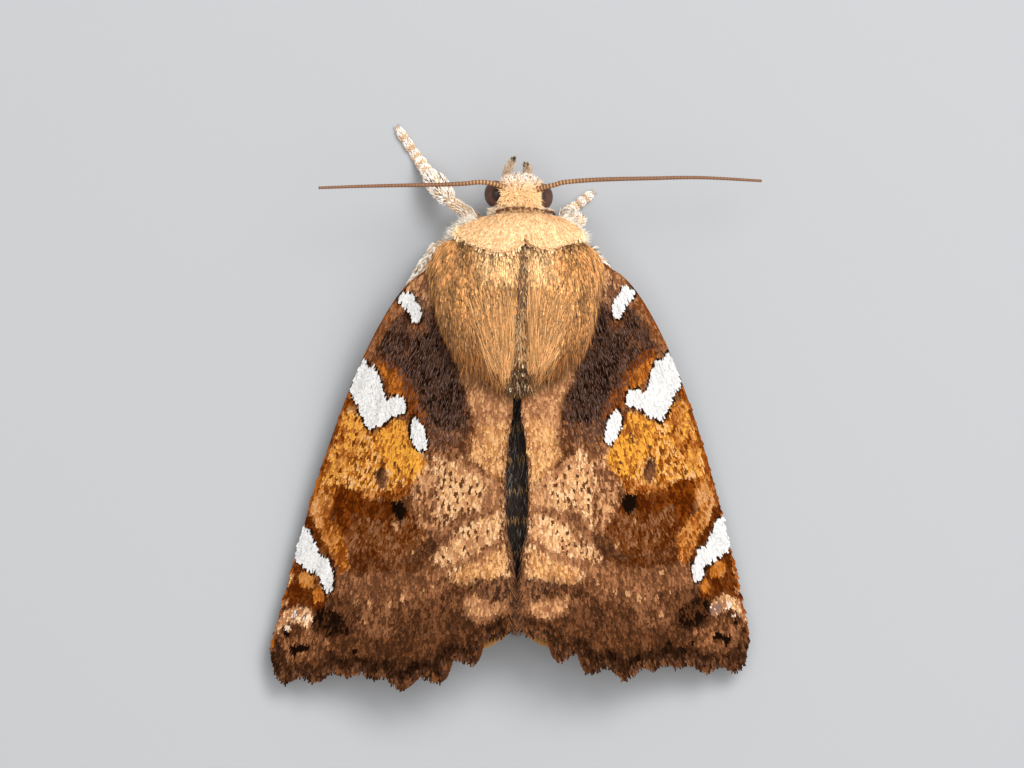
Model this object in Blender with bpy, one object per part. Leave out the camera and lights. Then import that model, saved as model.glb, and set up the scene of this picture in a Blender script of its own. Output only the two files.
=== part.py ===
"""A resting owlet moth with scalloped forewings, at life size.

It faces -Y with its left side towards +X, and its tarsi stand on the plane z = 0. Sizes and
places are in millimetres, and each finished mesh is scaled to metres. A place that belongs to
a pair is given for the left side and mirrored to the right.
"""

import math
import random
from collections import namedtuple

import bmesh
import bpy
import numpy as np
from mathutils import Matrix, Vector
from mathutils.geometry import delaunay_2d_cdt

MM = 0.001
GAP = 0.27  # left between pieces that touch

Blob = namedtuple("Blob", "centre radii power")
THORAX = Blob(Vector((0, -3.95, 2.65)), Vector((2.15, 3.1, 1.95)), 2.5)
HEAD = Blob(Vector((0, -7.98, 2.7)), Vector((0.98, 0.6, 0.9)), 2.2)
EYE = Blob(Vector((0.84, -7.86, 2.6)), Vector((0.44, 0.5, 0.62)), 2.0)

# The abdomen runs back below the wings, and its rings narrow towards the tip.
ABDOMEN_FRONT, ABDOMEN_BACK = -1.0, 7.35
ABDOMEN_HALF_WIDTH, ABDOMEN_HALF_HEIGHT, ABDOMEN_Z = 1.45, 1.05, 1.35
ABDOMEN_TAPER, ABDOMEN_RINGS, ABDOMEN_GROOVE = 0.5, 7, 0.06
ANAL_TUFT = Blob(Vector((0, 7.85, 1.35)), Vector((0.34, 0.3, 0.26)), 2.0)

# The forewings make a low roof from a ridge on the midline down to an eave along the costa.
# The costa bows out from the wing's root at COSTA_FRONT_Y over COSTA_RUN_Y to the apex.
COSTA_FRONT_Y, COSTA_RUN_Y = -5.4, 14.3
COSTA_ROOT_X, COSTA_RUN_X, COSTA_BOW = 2.7, 6.45, 0.55
COSTA_STEPS = 11
RIDGE_FRONT, RIDGE_BACK = 4.1, 3.7
EAVE_BACK, EAVE_RISE, EAVE_CURVE = 0.95, 2.1, 2.2
ROOF_CURVE = 1.3
SHEET = 0.5
HIND_BELOW = 0.95  # from the top of the forewing to the top of the hindwing
HALF_SLOT = 0.16  # from the midline to the closed inner margins
VEIN_HEIGHT, VEIN_HALF_WIDTH = 0.13, 0.17
GRID_STEP, GRID_CLEARANCE = 1.15, 0.4

# Scallop tips and notches of the forewing, from the apex to the tornus, then its inner
# margin, which leaves a lens-shaped slot over the abdomen.
FORE_MARGIN = ((9.11, 9.2), (8.93, 9.95), (8.56, 10.2), (8.0, 9.98), (7.44, 10.17), (6.78, 9.8),
               (6.22, 9.95), (5.85, 9.8), (5.25, 10.05), (4.98, 9.92), (4.22, 10.43),
               (3.56, 9.94), (2.78, 10.15), (2.41, 9.28), (1.52, 9.45), (1.28, 8.6),
               (0.5, 8.42), (HALF_SLOT, 8.15))
FORE_INNER = ((HALF_SLOT, 5.5), (0.38, 4.5), (0.44, 3.0), (0.33, 1.3), (HALF_SLOT, 0.2),
              (HALF_SLOT, -0.45))
HIND_COSTA = ((2.6, -3.7), (3.5, -2.2), (4.75, 1.0), (5.8, 4.4), (6.25, 7.0))
HIND_MARGIN = ((5.95, 8.1), (5.3, 8.55), (4.7, 8.95), (3.9, 9.1), (3.1, 9.15), (2.3, 9.0),
               (1.7, 8.95), (1.2, 8.78))
HIND_INNER = ((1.0, 8.2), (1.2, 6.4), (1.65, 4.2), (1.9, 1.5), (1.9, -0.6))

# Main veins in plan, named as entomologists name them.
FORE_VEINS = {
    "subcosta": ((3.1, -4.4), (4.8, -2.4), (6.2, 0.3), (7.0, 1.8)),
    "radius": ((2.9, -4.2), (4.2, -2.0), (5.2, 0.5), (5.9, 3.0)),
    "cubitus": ((2.8, -3.8), (3.25, -1.6), (3.7, 0.9), (4.3, 3.6)),
    "cell_end": ((5.9, 3.0), (5.1, 3.0), (4.3, 3.6)),
    "radius_1": ((5.2, 0.5), (6.5, 2.4), (7.5, 3.3)),
    "radius_2": ((5.9, 3.0), (7.2, 4.7), (8.05, 5.4)),
    "radius_4": ((6.8, 5.1), (8.0, 7.5), (8.75, 8.6)),
    "radius_5": ((5.9, 3.0), (6.8, 5.1), (7.9, 8.0), (8.4, 9.9)),
    "media_1": ((5.9, 3.0), (6.6, 5.8), (7.3, 9.8)),
    "media_2": ((4.7, 3.3), (5.5, 5.9), (6.2, 9.6)),
    "media_3": ((4.3, 3.6), (4.7, 6.1), (5.2, 9.7)),
    "cubitus_1": ((4.3, 3.6), (4.25, 6.5), (4.2, 10.1)),
    "cubitus_2": ((3.85, 1.5), (3.5, 5.2), (2.8, 9.8)),
    "anal": ((2.6, -3.4), (2.05, -0.2), (1.5, 4.2), (1.55, 9.1)),
}
HIND_VEINS = {
    "subcosta": ((2.9, -2.9), (4.3, 0.7), (5.6, 5.6)),
    "radius": ((2.7, -2.6), (3.9, 1.0), (4.9, 4.4), (5.7, 7.5)),
    "media_1": ((3.9, 1.0), (4.5, 5.2), (4.8, 8.5)),
    "media_3": ((2.95, 2.9), (3.6, 6.0), (3.9, 8.75)),
    "cubitus": ((2.45, -2.2), (2.75, 0.6), (2.95, 2.9), (2.95, 6.0), (2.95, 8.8)),
    "anal": ((2.25, -1.4), (2.25, 2.6), (1.95, 6.0), (1.7, 8.5)),
}

# Plates over the body in plan: half of the collar, the flap over a wing's root, and the tuft
# where the thorax ends.
COLLAR = ((0.14, -7.18), (0.85, -7.13), (1.63, -6.9), (2.22, -6.55), (2.25, -6.35),
          (1.9, -6.0), (1.11, -5.78), (0.56, -5.72), (0.14, -6.0))
TEGULA = ((0.3, -4.85), (0.9, -4.95), (1.6, -5.15), (2.3, -5.5), (2.9, -5.85), (3.3, -5.75),
          (3.4, -5.2), (3.2, -4.4), (2.95, -3.4), (2.65, -2.6), (2.25, -2.1), (1.75, -1.95),
          (1.4, -2.2), (1.05, -2.65), (0.6, -3.2), (0.3, -4.0))
TUFT = ((-0.15, -2.6), (0.15, -2.6), (0.36, -1.95), (0.38, -1.45), (0.22, -1.15), (0, -1.05),
        (-0.22, -1.15), (-0.38, -1.45), (-0.36, -1.95))
COLLAR_FRONT_Z, COLLAR_SLOPE, COLLAR_DROOP = 3.45, 0.8, 0.24
PLATE_EDGE, PLATE_CROWN = 0.5, 0.2
PLATE_GRID, PLATE_CLEARANCE = 0.7, 0.25

# Flat, tapered locks of long scales fringe the plates and make the two tufts. Each row runs
# between two of its plate's outline points, and its locks lean outwards by the fan angle.
LockRow = namedtuple("LockRow", "start end count length fan")
COLLAR_LOCKS = LockRow(5, 8, 6, 0.36, 14)
TEGULA_LOCKS = LockRow(7, 13, 10, 0.75, 6)
TUFT_LOCKS = LockRow(2, 8, 8, 0.7, 16)
LOCK_ROOT, LOCK_HALF_WIDTH, LOCK_HALF_DEPTH = 0.5, 0.27, 0.12
LOCK_SWELL = (0.75, 1.0, 0.9, 0.3)
LOCK_LIFT, LOCK_VARIATION, LOCK_SEED = 0.27, 0.2, 5
ANAL_LOCKS, ANAL_LENGTH, ANAL_FAN = 10, 0.78, 26

Side = namedtuple("Side", "tag sign sweep narrowing")
# The right forewing is held a little further forward and closer than the left one.
SIDES = (Side("l", 1, 0.0, 0.0), Side("r", -1, 0.065, 0.0045))
SWEEP_FROM_X = 1.2

TUBE_SIDES_LEVEL = 2
PALP = ((0.38, -8.3, 1.35), (0.37, -8.85, 1.6), (0.32, -9.15, 2.1), (0.3, -9.2, 2.65))
PALP_RADII = (0.3, 0.3, 0.26, 0.17)
FEELERS = {
    "l": ((0.4, -8.5, 3.55), (1.5, -8.45, 3.75), (3.0, -8.35, 3.8), (5.2, -8.25, 4.1),
          (7.3, -8.1, 4.6)),
    "r": ((-0.4, -8.5, 3.55), (-1.5, -8.5, 3.75), (-3.6, -8.5, 3.7), (-6.4, -8.55, 3.3),
          (-9.07, -8.4, 2.8)),
}
FEELER_RADII = (0.25, 0.25, 0.25, 0.24, 0.16)

Leg = namedtuple("Leg", "coxa knee ankle toe tibia_radius")
LEGS = {
    "fore_l": Leg((1.1, -6.6, 1.1), (2.5, -7.65, 1.75), (3.3, -8.65, 0.8), (4.4, -10.3), 0.4),
    "fore_r": Leg((-1.1, -6.55, 1.1), (-2.35, -6.87, 2.0), (-1.75, -7.1, 0.75), (-2.75, -7.9),
                  0.3),
    "mid_l": Leg((1.35, -4.7, 0.38), (2.85, -6.05, 1.7), (4.35, -3.3, 0.85), (5.4, -0.6), 0.36),
    "mid_r": Leg((-1.35, -4.7, 0.38), (-2.6, -5.9, 1.75), (-4.2, -3.4, 0.85), (-5.2, -0.8),
                 0.34),
    "hind_l": Leg((1.15, -2.3, 0.42), (2.65, -0.3, 1.0), (3.2, 3.3, 0.7), (3.9, 6.6), 0.34),
    "hind_r": Leg((-1.15, -2.3, 0.42), (-2.65, -0.3, 1.0), (-3.15, 3.2, 0.7), (-3.8, 6.4),
                  0.34),
}
FEMUR_RADIUS, SHIN_RADIUS = 0.3, 0.25
TARSUS_RADII = (0.23, 0.21, 0.18, 0.12)
TARSUS_TOUCH = 0.35  # share of the tarsus that slopes down before it lies flat
SOLE_AXIS_Z, SOLE_BELOW = 0.14, 0.03

Finish = namedtuple("Finish", "colour roughness")
FUR = Finish((0.45, 0.25, 0.1), 0.85)
PALE_FUR = Finish((0.72, 0.46, 0.22), 0.85)
DARK_FUR = Finish((0.06, 0.04, 0.03), 0.85)
EYE_GLOSS = Finish((0.02, 0.012, 0.01), 0.15)
WING = Finish((0.2, 0.09, 0.04), 0.7)
HIND_WING = Finish((0.3, 0.2, 0.1), 0.7)
LIMB = Finish((0.6, 0.48, 0.36), 0.7)


def clear_scene():
    """Remove every object that the file starts with."""
    for thing in list(bpy.data.objects):
        bpy.data.objects.remove(thing, do_unlink=True)


class Builder:
    """Keeps the collection and the parent that every node of the moth goes to."""

    def __init__(self, name):
        self.collection = bpy.data.collections.new(name)
        bpy.context.scene.collection.children.link(self.collection)
        self.parent = bpy.data.objects.new(name + "_origin", None)
        self.collection.objects.link(self.parent)

    def add(self, name, shape, finish, centre=Vector((0, 0, 0))):
        """Turn a bmesh in millimetres, about its centre, into a named node in metres."""
        bmesh.ops.recalc_face_normals(shape, faces=shape.faces)
        bmesh.ops.scale(shape, vec=Vector((MM, MM, MM)), verts=shape.verts)
        mesh = bpy.data.meshes.new(name)
        shape.to_mesh(mesh)
        shape.free()
        mesh.shade_smooth()
        mesh.set_sharp_from_angle(angle=math.radians(40))
        material = bpy.data.materials.new(name)
        material.use_nodes = True
        shader = material.node_tree.nodes["Principled BSDF"]
        shader.inputs["Base Color"].default_value = (*finish.colour, 1)
        shader.inputs["Roughness"].default_value = finish.roughness
        shader.inputs["Metallic"].default_value = 0.0
        mesh.materials.append(material)
        node = bpy.data.objects.new(name, mesh)
        node.location = centre * MM
        node.parent = self.parent
        self.collection.objects.link(node)
        return node

    def add_with_locks(self, name, shape, locks, finish, centre=Vector((0, 0, 0))):
        """A node whose locks are fused with its core into one closed body."""
        node = self.add(name, shape, finish, centre)
        tufts = bpy.data.collections.new(name + "_locks")
        bpy.context.scene.collection.children.link(tufts)
        pieces = []
        for index, piece in enumerate(locks):
            tuft = self.add(f"{name}_lock_{index}", piece, finish, centre)
            tufts.objects.link(tuft)
            pieces.append(tuft)
        bpy.context.view_layer.update()
        union = node.modifiers.new("locks", "BOOLEAN")
        union.operation = "UNION"
        union.operand_type = "COLLECTION"
        union.collection = tufts
        bpy.context.view_layer.objects.active = node
        bpy.ops.object.modifier_apply(modifier=union.name)
        for tuft in pieces:
            bpy.data.objects.remove(tuft, do_unlink=True)
        bpy.data.collections.remove(tufts)
        keep_largest(node.data)
        return node


def mirrored(place, sign):
    """The same place on the side that sign names."""
    return Vector((place[0] * sign, *place[1:]))


def smooth_path(points, steps):
    """Points along a Catmull-Rom curve through the given ones, with steps to each span."""
    places = [Vector(point) for point in points]
    first = places[0] * 2 - places[1]
    last = places[-1] * 2 - places[-2]
    frame = [first, *places, last]
    path = []
    for before, start, end, after in zip(frame, frame[1:], frame[2:], frame[3:]):
        for step in range(steps):
            t = step / steps
            path.append(0.5 * (2 * start + (end - before) * t
                               + (2 * before - 5 * start + 4 * end - after) * t ** 2
                               + (3 * start - before - 3 * end + after) * t ** 3))
    path.append(places[-1])
    return path


def blob(form, segments, rings, grow=0.0, along_y=True):
    """A closed superellipsoid about the origin, with its poles along Y or Z."""
    shape = bmesh.new()
    bmesh.ops.create_uvsphere(shape, u_segments=segments, v_segments=rings, radius=1)
    if along_y:
        turn = Matrix.Rotation(math.radians(90), 3, "X")
        bmesh.ops.rotate(shape, cent=Vector((0, 0, 0)), matrix=turn, verts=shape.verts)
    for vertex in shape.verts:
        reach = sum(abs(part) ** form.power for part in vertex.co) ** (-1 / form.power)
        vertex.co = Vector([part * reach * (radius + grow)
                            for part, radius in zip(vertex.co, form.radii)])
    return shape


def thorax_half_width(y, grow=0.0):
    """Half the thorax's width at its widest level, and zero past its ends."""
    along = abs(y - THORAX.centre.y) / (THORAX.radii.y + grow)
    left = max(0.0, 1 - along ** THORAX.power)
    return (THORAX.radii.x + grow) * left ** (1 / THORAX.power)


def thorax_top(x, y):
    """Height of the thorax's back, or of its widest level outside its outline."""
    across = abs(x / THORAX.radii.x) ** THORAX.power
    along = abs((y - THORAX.centre.y) / THORAX.radii.y) ** THORAX.power
    left = max(0.0, 1 - across - along)
    return THORAX.centre.z + THORAX.radii.z * left ** (1 / THORAX.power)


def costa_x(y):
    """Distance of the costa from the midline."""
    along = min(max((y - COSTA_FRONT_Y) / COSTA_RUN_Y, 0.03), 1.0)
    return COSTA_ROOT_X + COSTA_RUN_X * along ** COSTA_BOW


def roof_z(x, y):
    """Height of the forewing's upper face between its veins."""
    along = min(max((y - COSTA_FRONT_Y) / COSTA_RUN_Y, 0.0), 1.0)
    ridge = RIDGE_FRONT + (RIDGE_BACK - RIDGE_FRONT) * along
    eave = EAVE_BACK + EAVE_RISE * (1 - along) ** EAVE_CURVE
    across = abs(x) / costa_x(y)
    return ridge - (ridge - eave) * across ** ROOF_CURVE


def hind_z(x, y):
    """Height of the hindwing's upper face between its veins."""
    return roof_z(x, y) - HIND_BELOW


def over_body_z(x, y):
    """Lowest height that clears the thorax and the wing's root."""
    return max(thorax_top(x, y), roof_z(x, y)) + GAP


def collar_z(x, y):
    """Underside of the collar, which stands up behind the head."""
    rise = COLLAR_FRONT_Z + COLLAR_SLOPE * (y - COLLAR[0][1]) - COLLAR_DROOP * x * x
    return max(thorax_top(x, y) + GAP, rise)


def distance_to_path(place, path):
    """Shortest distance in plan from a place to a path of straight runs."""
    best = math.inf
    for start, end in zip(path, path[1:]):
        run = end - start
        share = (place - start).dot(run) / max(run.length_squared, 1e-9)
        nearest = start + run * min(max(share, 0), 1)
        best = min(best, (place - nearest).length)
    return best


def beside(path, offset):
    """A path's parallel at a signed offset to its side."""
    moved = []
    for index, place in enumerate(path):
        ahead = path[min(index + 1, len(path) - 1)] - path[max(index - 1, 0)]
        normal = Vector((-ahead.y, ahead.x)).normalized()
        moved.append(place + normal * offset)
    return moved


def plan_mesh(outline, paths, step, clearance):
    """Triangulate an outline in plan, with the given paths as its edges and a filling grid."""
    points = list(outline)
    edges = [(index, (index + 1) % len(outline)) for index in range(len(outline))]
    for path in paths:
        edges += [(len(points) + index, len(points) + index + 1)
                  for index in range(len(path) - 1)]
        points += path
    fixed = [list(outline) + [outline[0]], *paths]
    low_x, high_x = min(p.x for p in outline), max(p.x for p in outline)
    low_y, high_y = min(p.y for p in outline), max(p.y for p in outline)
    for row, y in enumerate(np.arange(low_y, high_y, step * 0.87)):
        for x in np.arange(low_x + (row % 2) * step / 2, high_x, step):
            place = Vector((x, y))
            if min(distance_to_path(place, path) for path in fixed) > clearance:
                points.append(place)
    vertices, _, faces, *_ = delaunay_2d_cdt(points, edges, [], 1, 0.02)
    return vertices, faces


def sheet(vertices, faces, top_z, bottom_z, place=lambda x, y: (x, y)):
    """A closed sheet whose two faces have the same triangles in plan."""
    shape = bmesh.new()
    corners = [shape.verts.new((*place(v.x, v.y), top_z(v.x, v.y))) for v in vertices]
    for face in faces:
        shape.faces.new([corners[index] for index in face])
    used = {index for face in faces for index in face}
    low = {corners[index]: bottom_z(vertices[index].x, vertices[index].y) for index in used}
    for index, corner in enumerate(corners):
        if index not in used:
            shape.verts.remove(corner)
    upper = list(shape.verts)
    rim = bmesh.ops.extrude_face_region(shape, geom=shape.faces[:])
    moved = [part for part in rim["geom"] if isinstance(part, bmesh.types.BMVert)]
    depth = {tuple(vertex.co): low[vertex] for vertex in upper}
    for vertex in moved:
        vertex.co.z = depth[tuple(vertex.co)]
    return shape


def wing(side, outline, veins, surface_z):
    """A wing's membrane with its veins raised on the upper face."""
    lines = [smooth_path(vein, 2) for vein in veins.values()]
    edges = []
    for line in lines:
        edges += [line, beside(line, VEIN_HALF_WIDTH), beside(line, -VEIN_HALF_WIDTH)]
    vertices, faces = plan_mesh(outline, edges, GRID_STEP, GRID_CLEARANCE)

    def top(x, y):
        nearest = min(distance_to_path(Vector((x, y)), line) for line in lines)
        return surface_z(x, y) + VEIN_HEIGHT * max(0.0, 1 - nearest / VEIN_HALF_WIDTH)

    def bottom(x, y):
        return surface_z(x, y) - SHEET

    def place(x, y):
        held_x = x * (1 - side.narrowing * (y - COSTA_FRONT_Y))
        return side.sign * held_x, y - side.sweep * max(0.0, x - SWEEP_FROM_X)

    return sheet(vertices, faces, top, bottom, place)


def fore_outline():
    """Plan of the left forewing, from its root round the costa and back along the thorax."""
    costa = []
    for step in range(COSTA_STEPS):
        y = COSTA_FRONT_Y + 0.1 + (COSTA_RUN_Y - 0.1) * (step / COSTA_STEPS) ** 1.3
        costa.append(Vector((costa_x(y), y)))
    margin = smooth_path(FORE_MARGIN, 2)
    inner = smooth_path(FORE_INNER, 1)
    return costa + margin + inner + root_edge(-0.75, -5.1, 6)


def root_edge(back_y, front_y, steps):
    """Points along the thorax's side, clear of it by the gap, from back to front."""
    rows = [back_y + (front_y - back_y) * step / (steps - 1) for step in range(steps)]
    return [Vector((thorax_half_width(y, GAP) + 0.02, y)) for y in rows]


def hind_outline():
    """Plan of the left hindwing."""
    margin = smooth_path(HIND_MARGIN, 1)
    return (smooth_path(HIND_COSTA, 1) + margin + smooth_path(HIND_INNER, 1)
            + root_edge(-1.2, -3.4, 4))


def plate(outline, under_z, sign, crown=PLATE_CROWN):
    """A scale-covered plate over a plan outline, thickest in its middle."""
    edge = [Vector(point) for point in outline]
    rim = [*edge, edge[0]]
    vertices, faces = plan_mesh(edge, [], PLATE_GRID, PLATE_CLEARANCE)

    def top(x, y):
        inward = min(distance_to_path(Vector((x, y)), rim) / PLATE_GRID, 1)
        return under_z(x, y) + PLATE_EDGE + crown * inward

    return sheet(vertices, faces, top, under_z, lambda x, y: (sign * x, y))


def lock(path, half_width, half_depth):
    """A closed, flat, four-sided lock along a path, tapered to a blunt tip."""
    shape = bmesh.new()
    rings = []
    for index, place in enumerate(path):
        ahead = path[min(index + 1, len(path) - 1)] - path[max(index - 1, 0)]
        across = ahead.cross(Vector((0, 0, 1))).normalized()
        upward = across.cross(ahead).normalized()
        swell = LOCK_SWELL[index]
        depth = half_depth * (0.4 + 0.6 * swell)
        corners = (across * half_width * swell, upward * depth,
                   -across * half_width * swell, -upward * depth)
        rings.append([shape.verts.new(place + corner) for corner in corners])
    for near, far in zip(rings, rings[1:]):
        for side in range(4):
            shape.faces.new((near[side], near[side - 1], far[side - 1], far[side]))
    shape.faces.new(rings[0])
    shape.faces.new(reversed(rings[-1]))
    bmesh.ops.triangulate(shape, faces=shape.faces)
    return shape


def edge_locks(outline, row, under_z, sign, draw):
    """Locks rooted in a plate that reach past its edge and lie along the body."""
    edge = [Vector(outline[index % len(outline)]) for index in range(row.start, row.end + 1)]
    reach = [0.0]
    for start, end in zip(edge, edge[1:]):
        reach.append(reach[-1] + (end - start).length)
    locks = []
    for index in range(row.count):
        along = reach[-1] * index / (row.count - 1)
        span = next(i for i in range(len(edge) - 1) if along <= reach[i + 1] + 1e-9)
        share = (along - reach[span]) / (reach[span + 1] - reach[span])
        place = edge[span].lerp(edge[span + 1], share)
        lean = math.radians(row.fan * (1 - 2 * index / (row.count - 1)) + draw.uniform(-4, 4))
        way = Vector((math.sin(lean), math.cos(lean)))
        length = row.length * (1 + draw.uniform(-LOCK_VARIATION, LOCK_VARIATION))
        path = []
        for step in range(len(LOCK_SWELL)):
            spot = place + way * (-LOCK_ROOT + (LOCK_ROOT + length) * step / 3)
            path.append(Vector((sign * spot.x, spot.y, under_z(spot.x, spot.y) + LOCK_LIFT)))
        locks.append(lock(path, LOCK_HALF_WIDTH, LOCK_HALF_DEPTH))
    return locks


def anal_locks(draw):
    """Locks that fan back from the abdomen's tip, above and below its core."""
    locks = []
    for index in range(ANAL_LOCKS):
        around = math.radians(360 * index / ANAL_LOCKS)
        fan = math.radians(ANAL_FAN)
        way = Vector((math.cos(around) * math.sin(fan) * 0.9, math.cos(fan),
                      math.sin(around) * math.sin(fan) * 0.5))
        length = ANAL_LENGTH * (1 + draw.uniform(-LOCK_VARIATION, LOCK_VARIATION))
        start = Vector((math.cos(around) * 0.1, -0.05, math.sin(around) * 0.08))
        path = [start + way * length * step / 3 for step in range(len(LOCK_SWELL))]
        locks.append(lock(path, LOCK_HALF_WIDTH * 0.75, LOCK_HALF_DEPTH * 0.8))
    return locks


def keep_largest(mesh):
    """Drop every closed surface of a mesh but the one with most vertices."""
    shape = bmesh.new()
    shape.from_mesh(mesh)
    unseen = set(shape.verts)
    islands = []
    while unseen:
        island = {unseen.pop()}
        fresh = list(island)
        while fresh:
            near = [edge.other_vert(vertex) for vertex in fresh for edge in vertex.link_edges]
            fresh = [vertex for vertex in set(near) if vertex in unseen]
            unseen.difference_update(fresh)
            island.update(fresh)
        islands.append(island)
    islands.sort(key=len, reverse=True)
    scraps = [vertex for island in islands[1:] for vertex in island]
    bmesh.ops.delete(shape, geom=scraps, context="VERTS")
    shape.to_mesh(mesh)
    shape.free()


def tube(points, radii, steps=3):
    """A closed round bar along a smooth path, made from a bevelled curve."""
    path = smooth_path(points, steps)
    widths = smooth_path([(radius, 0, 0) for radius in radii], steps)
    curve = bpy.data.curves.new("bar", "CURVE")
    curve.dimensions = "3D"
    curve.bevel_depth = 1.0
    curve.bevel_resolution = TUBE_SIDES_LEVEL
    curve.use_fill_caps = True
    spline = curve.splines.new("POLY")
    spline.points.add(len(path) - 1)
    for point, place, width in zip(spline.points, path, widths):
        point.co = (*place, 1)
        point.radius = width.x
    bar = bpy.data.objects.new("bar", curve)
    bpy.context.scene.collection.objects.link(bar)
    ready = bar.evaluated_get(bpy.context.evaluated_depsgraph_get())
    mesh = bpy.data.meshes.new_from_object(ready)
    shape = bmesh.new()
    shape.from_mesh(mesh)
    bmesh.ops.remove_doubles(shape, verts=shape.verts, dist=0.001)
    bpy.data.objects.remove(bar, do_unlink=True)
    bpy.data.curves.remove(curve)
    bpy.data.meshes.remove(mesh)
    return shape


def bend_trim(before, joint, after, radius):
    """How far a bar stops short of a bend so that the next one stays clear of it."""
    half_bend = (joint - before).angle(after - joint) / 2
    return GAP / 2 + radius * math.tan(half_bend)


def shortened(start, end, at_start, at_end):
    """The two ends of a straight run, moved inwards."""
    way = (end - start).normalized()
    return start + way * at_start, end - way * at_end


def add_leg(builder, name, leg):
    """The femur, tibia and tarsus of one leg, each a node of its own."""
    coxa, knee, ankle = Vector(leg.coxa), Vector(leg.knee), Vector(leg.ankle)
    toe = Vector((*leg.toe, SOLE_AXIS_Z))
    touch = ankle.lerp(toe, TARSUS_TOUCH)
    touch.z = SOLE_AXIS_Z
    knee_trim = bend_trim(coxa, knee, ankle, SHIN_RADIUS)
    ankle_trim = bend_trim(knee, ankle, touch, TARSUS_RADII[0])
    start, end = shortened(coxa, knee, 0, knee_trim)
    femur = tube((start, start.lerp(end, 0.5), end),
                 (FEMUR_RADIUS * 0.9, FEMUR_RADIUS, SHIN_RADIUS))
    builder.add("femur_" + name, femur, LIMB)
    start, end = shortened(knee, ankle, knee_trim, ankle_trim)
    tibia = tube((start, start.lerp(end, 0.5), end),
                 (SHIN_RADIUS, leg.tibia_radius, SHIN_RADIUS))
    builder.add("tibia_" + name, tibia, LIMB)
    start = shortened(ankle, touch, ankle_trim, 0)[0]
    tarsus = tube((start, touch, touch.lerp(toe, 0.5), toe), TARSUS_RADII)
    for vertex in tarsus.verts:
        if vertex.co.z < SOLE_BELOW:
            vertex.co.z = 0
    builder.add("tarsus_" + name, tarsus, LIMB)


def abdomen_shape():
    """The abdomen's tapering rings, about the middle of its length."""
    half_length = (ABDOMEN_BACK - ABDOMEN_FRONT) / 2
    form = Blob(None, Vector((ABDOMEN_HALF_WIDTH, half_length, ABDOMEN_HALF_HEIGHT)), 2.5)
    shape = blob(form, 20, 36)
    for vertex in shape.verts:
        share = (vertex.co.y + half_length) / (2 * half_length)
        width = 1 - ABDOMEN_TAPER * share ** 2
        width -= ABDOMEN_GROOVE * abs(math.cos(math.pi * share * ABDOMEN_RINGS)) ** 6
        vertex.co.x *= width
        vertex.co.z *= width
    return shape


def add_head(builder):
    """The head, cut by a larger copy of each eye, and the eyes in their sockets."""
    head = builder.add("head", blob(HEAD, 24, 16), PALE_FUR, HEAD.centre)
    for side in SIDES:
        centre = mirrored(EYE.centre, side.sign)
        builder.add("eye_" + side.tag, blob(EYE, 20, 14), EYE_GLOSS, centre)
        cutter = builder.add("eye_cutter_" + side.tag, blob(EYE, 20, 14, GAP), EYE_GLOSS, centre)
        bpy.context.view_layer.update()
        cut = head.modifiers.new("socket_" + side.tag, "BOOLEAN")
        cut.operation = "DIFFERENCE"
        cut.object = cutter
        bpy.context.view_layer.objects.active = head
        bpy.ops.object.modifier_apply(modifier=cut.name)
        bpy.data.objects.remove(cutter, do_unlink=True)


def build_moth():
    """Build every node of the moth."""
    builder = Builder("owlet_moth")
    builder.add("thorax", blob(THORAX, 24, 16), FUR, THORAX.centre)
    middle_y = (ABDOMEN_FRONT + ABDOMEN_BACK) / 2
    builder.add("abdomen", abdomen_shape(), DARK_FUR, Vector((0, middle_y, ABDOMEN_Z)))
    draw = random.Random(LOCK_SEED)
    builder.add_with_locks("anal_tuft", blob(ANAL_TUFT, 16, 10), anal_locks(draw), DARK_FUR,
                           ANAL_TUFT.centre)
    locks = edge_locks(TUFT, TUFT_LOCKS, over_body_z, 1, draw)
    builder.add_with_locks("scutellar_tuft", plate(TUFT, over_body_z, 1), locks, DARK_FUR)
    add_head(builder)
    for side in SIDES:
        builder.add("forewing_" + side.tag, wing(side, fore_outline(), FORE_VEINS, roof_z), WING)
        hind = wing(side, hind_outline(), HIND_VEINS, hind_z)
        builder.add("hindwing_" + side.tag, hind, HIND_WING)
        locks = edge_locks(COLLAR, COLLAR_LOCKS, collar_z, side.sign, draw)
        builder.add_with_locks("collar_" + side.tag, plate(COLLAR, collar_z, side.sign), locks,
                               PALE_FUR)
        locks = edge_locks(TEGULA, TEGULA_LOCKS, over_body_z, side.sign, draw)
        builder.add_with_locks("tegula_" + side.tag, plate(TEGULA, over_body_z, side.sign),
                               locks, FUR)
        palp = tube([mirrored(place, side.sign) for place in PALP], PALP_RADII)
        builder.add("palp_" + side.tag, palp, PALE_FUR)
        builder.add("antenna_" + side.tag, tube(FEELERS[side.tag], FEELER_RADII), LIMB)
    for name, leg in LEGS.items():
        add_leg(builder, name, leg)


clear_scene()
build_moth()
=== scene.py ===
"""Looks of a resting owlet moth: scaled wings, fur, legs, feelers, eyes and a plain studio.

Lengths are in millimetres until a mesh is made. The moth faces -Y with its left side towards
+X, and the camera looks straight down on it with its head towards the top of the picture.
"""

import enum
import logging
import math
from dataclasses import dataclass, field
from typing import Callable, Sequence

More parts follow.
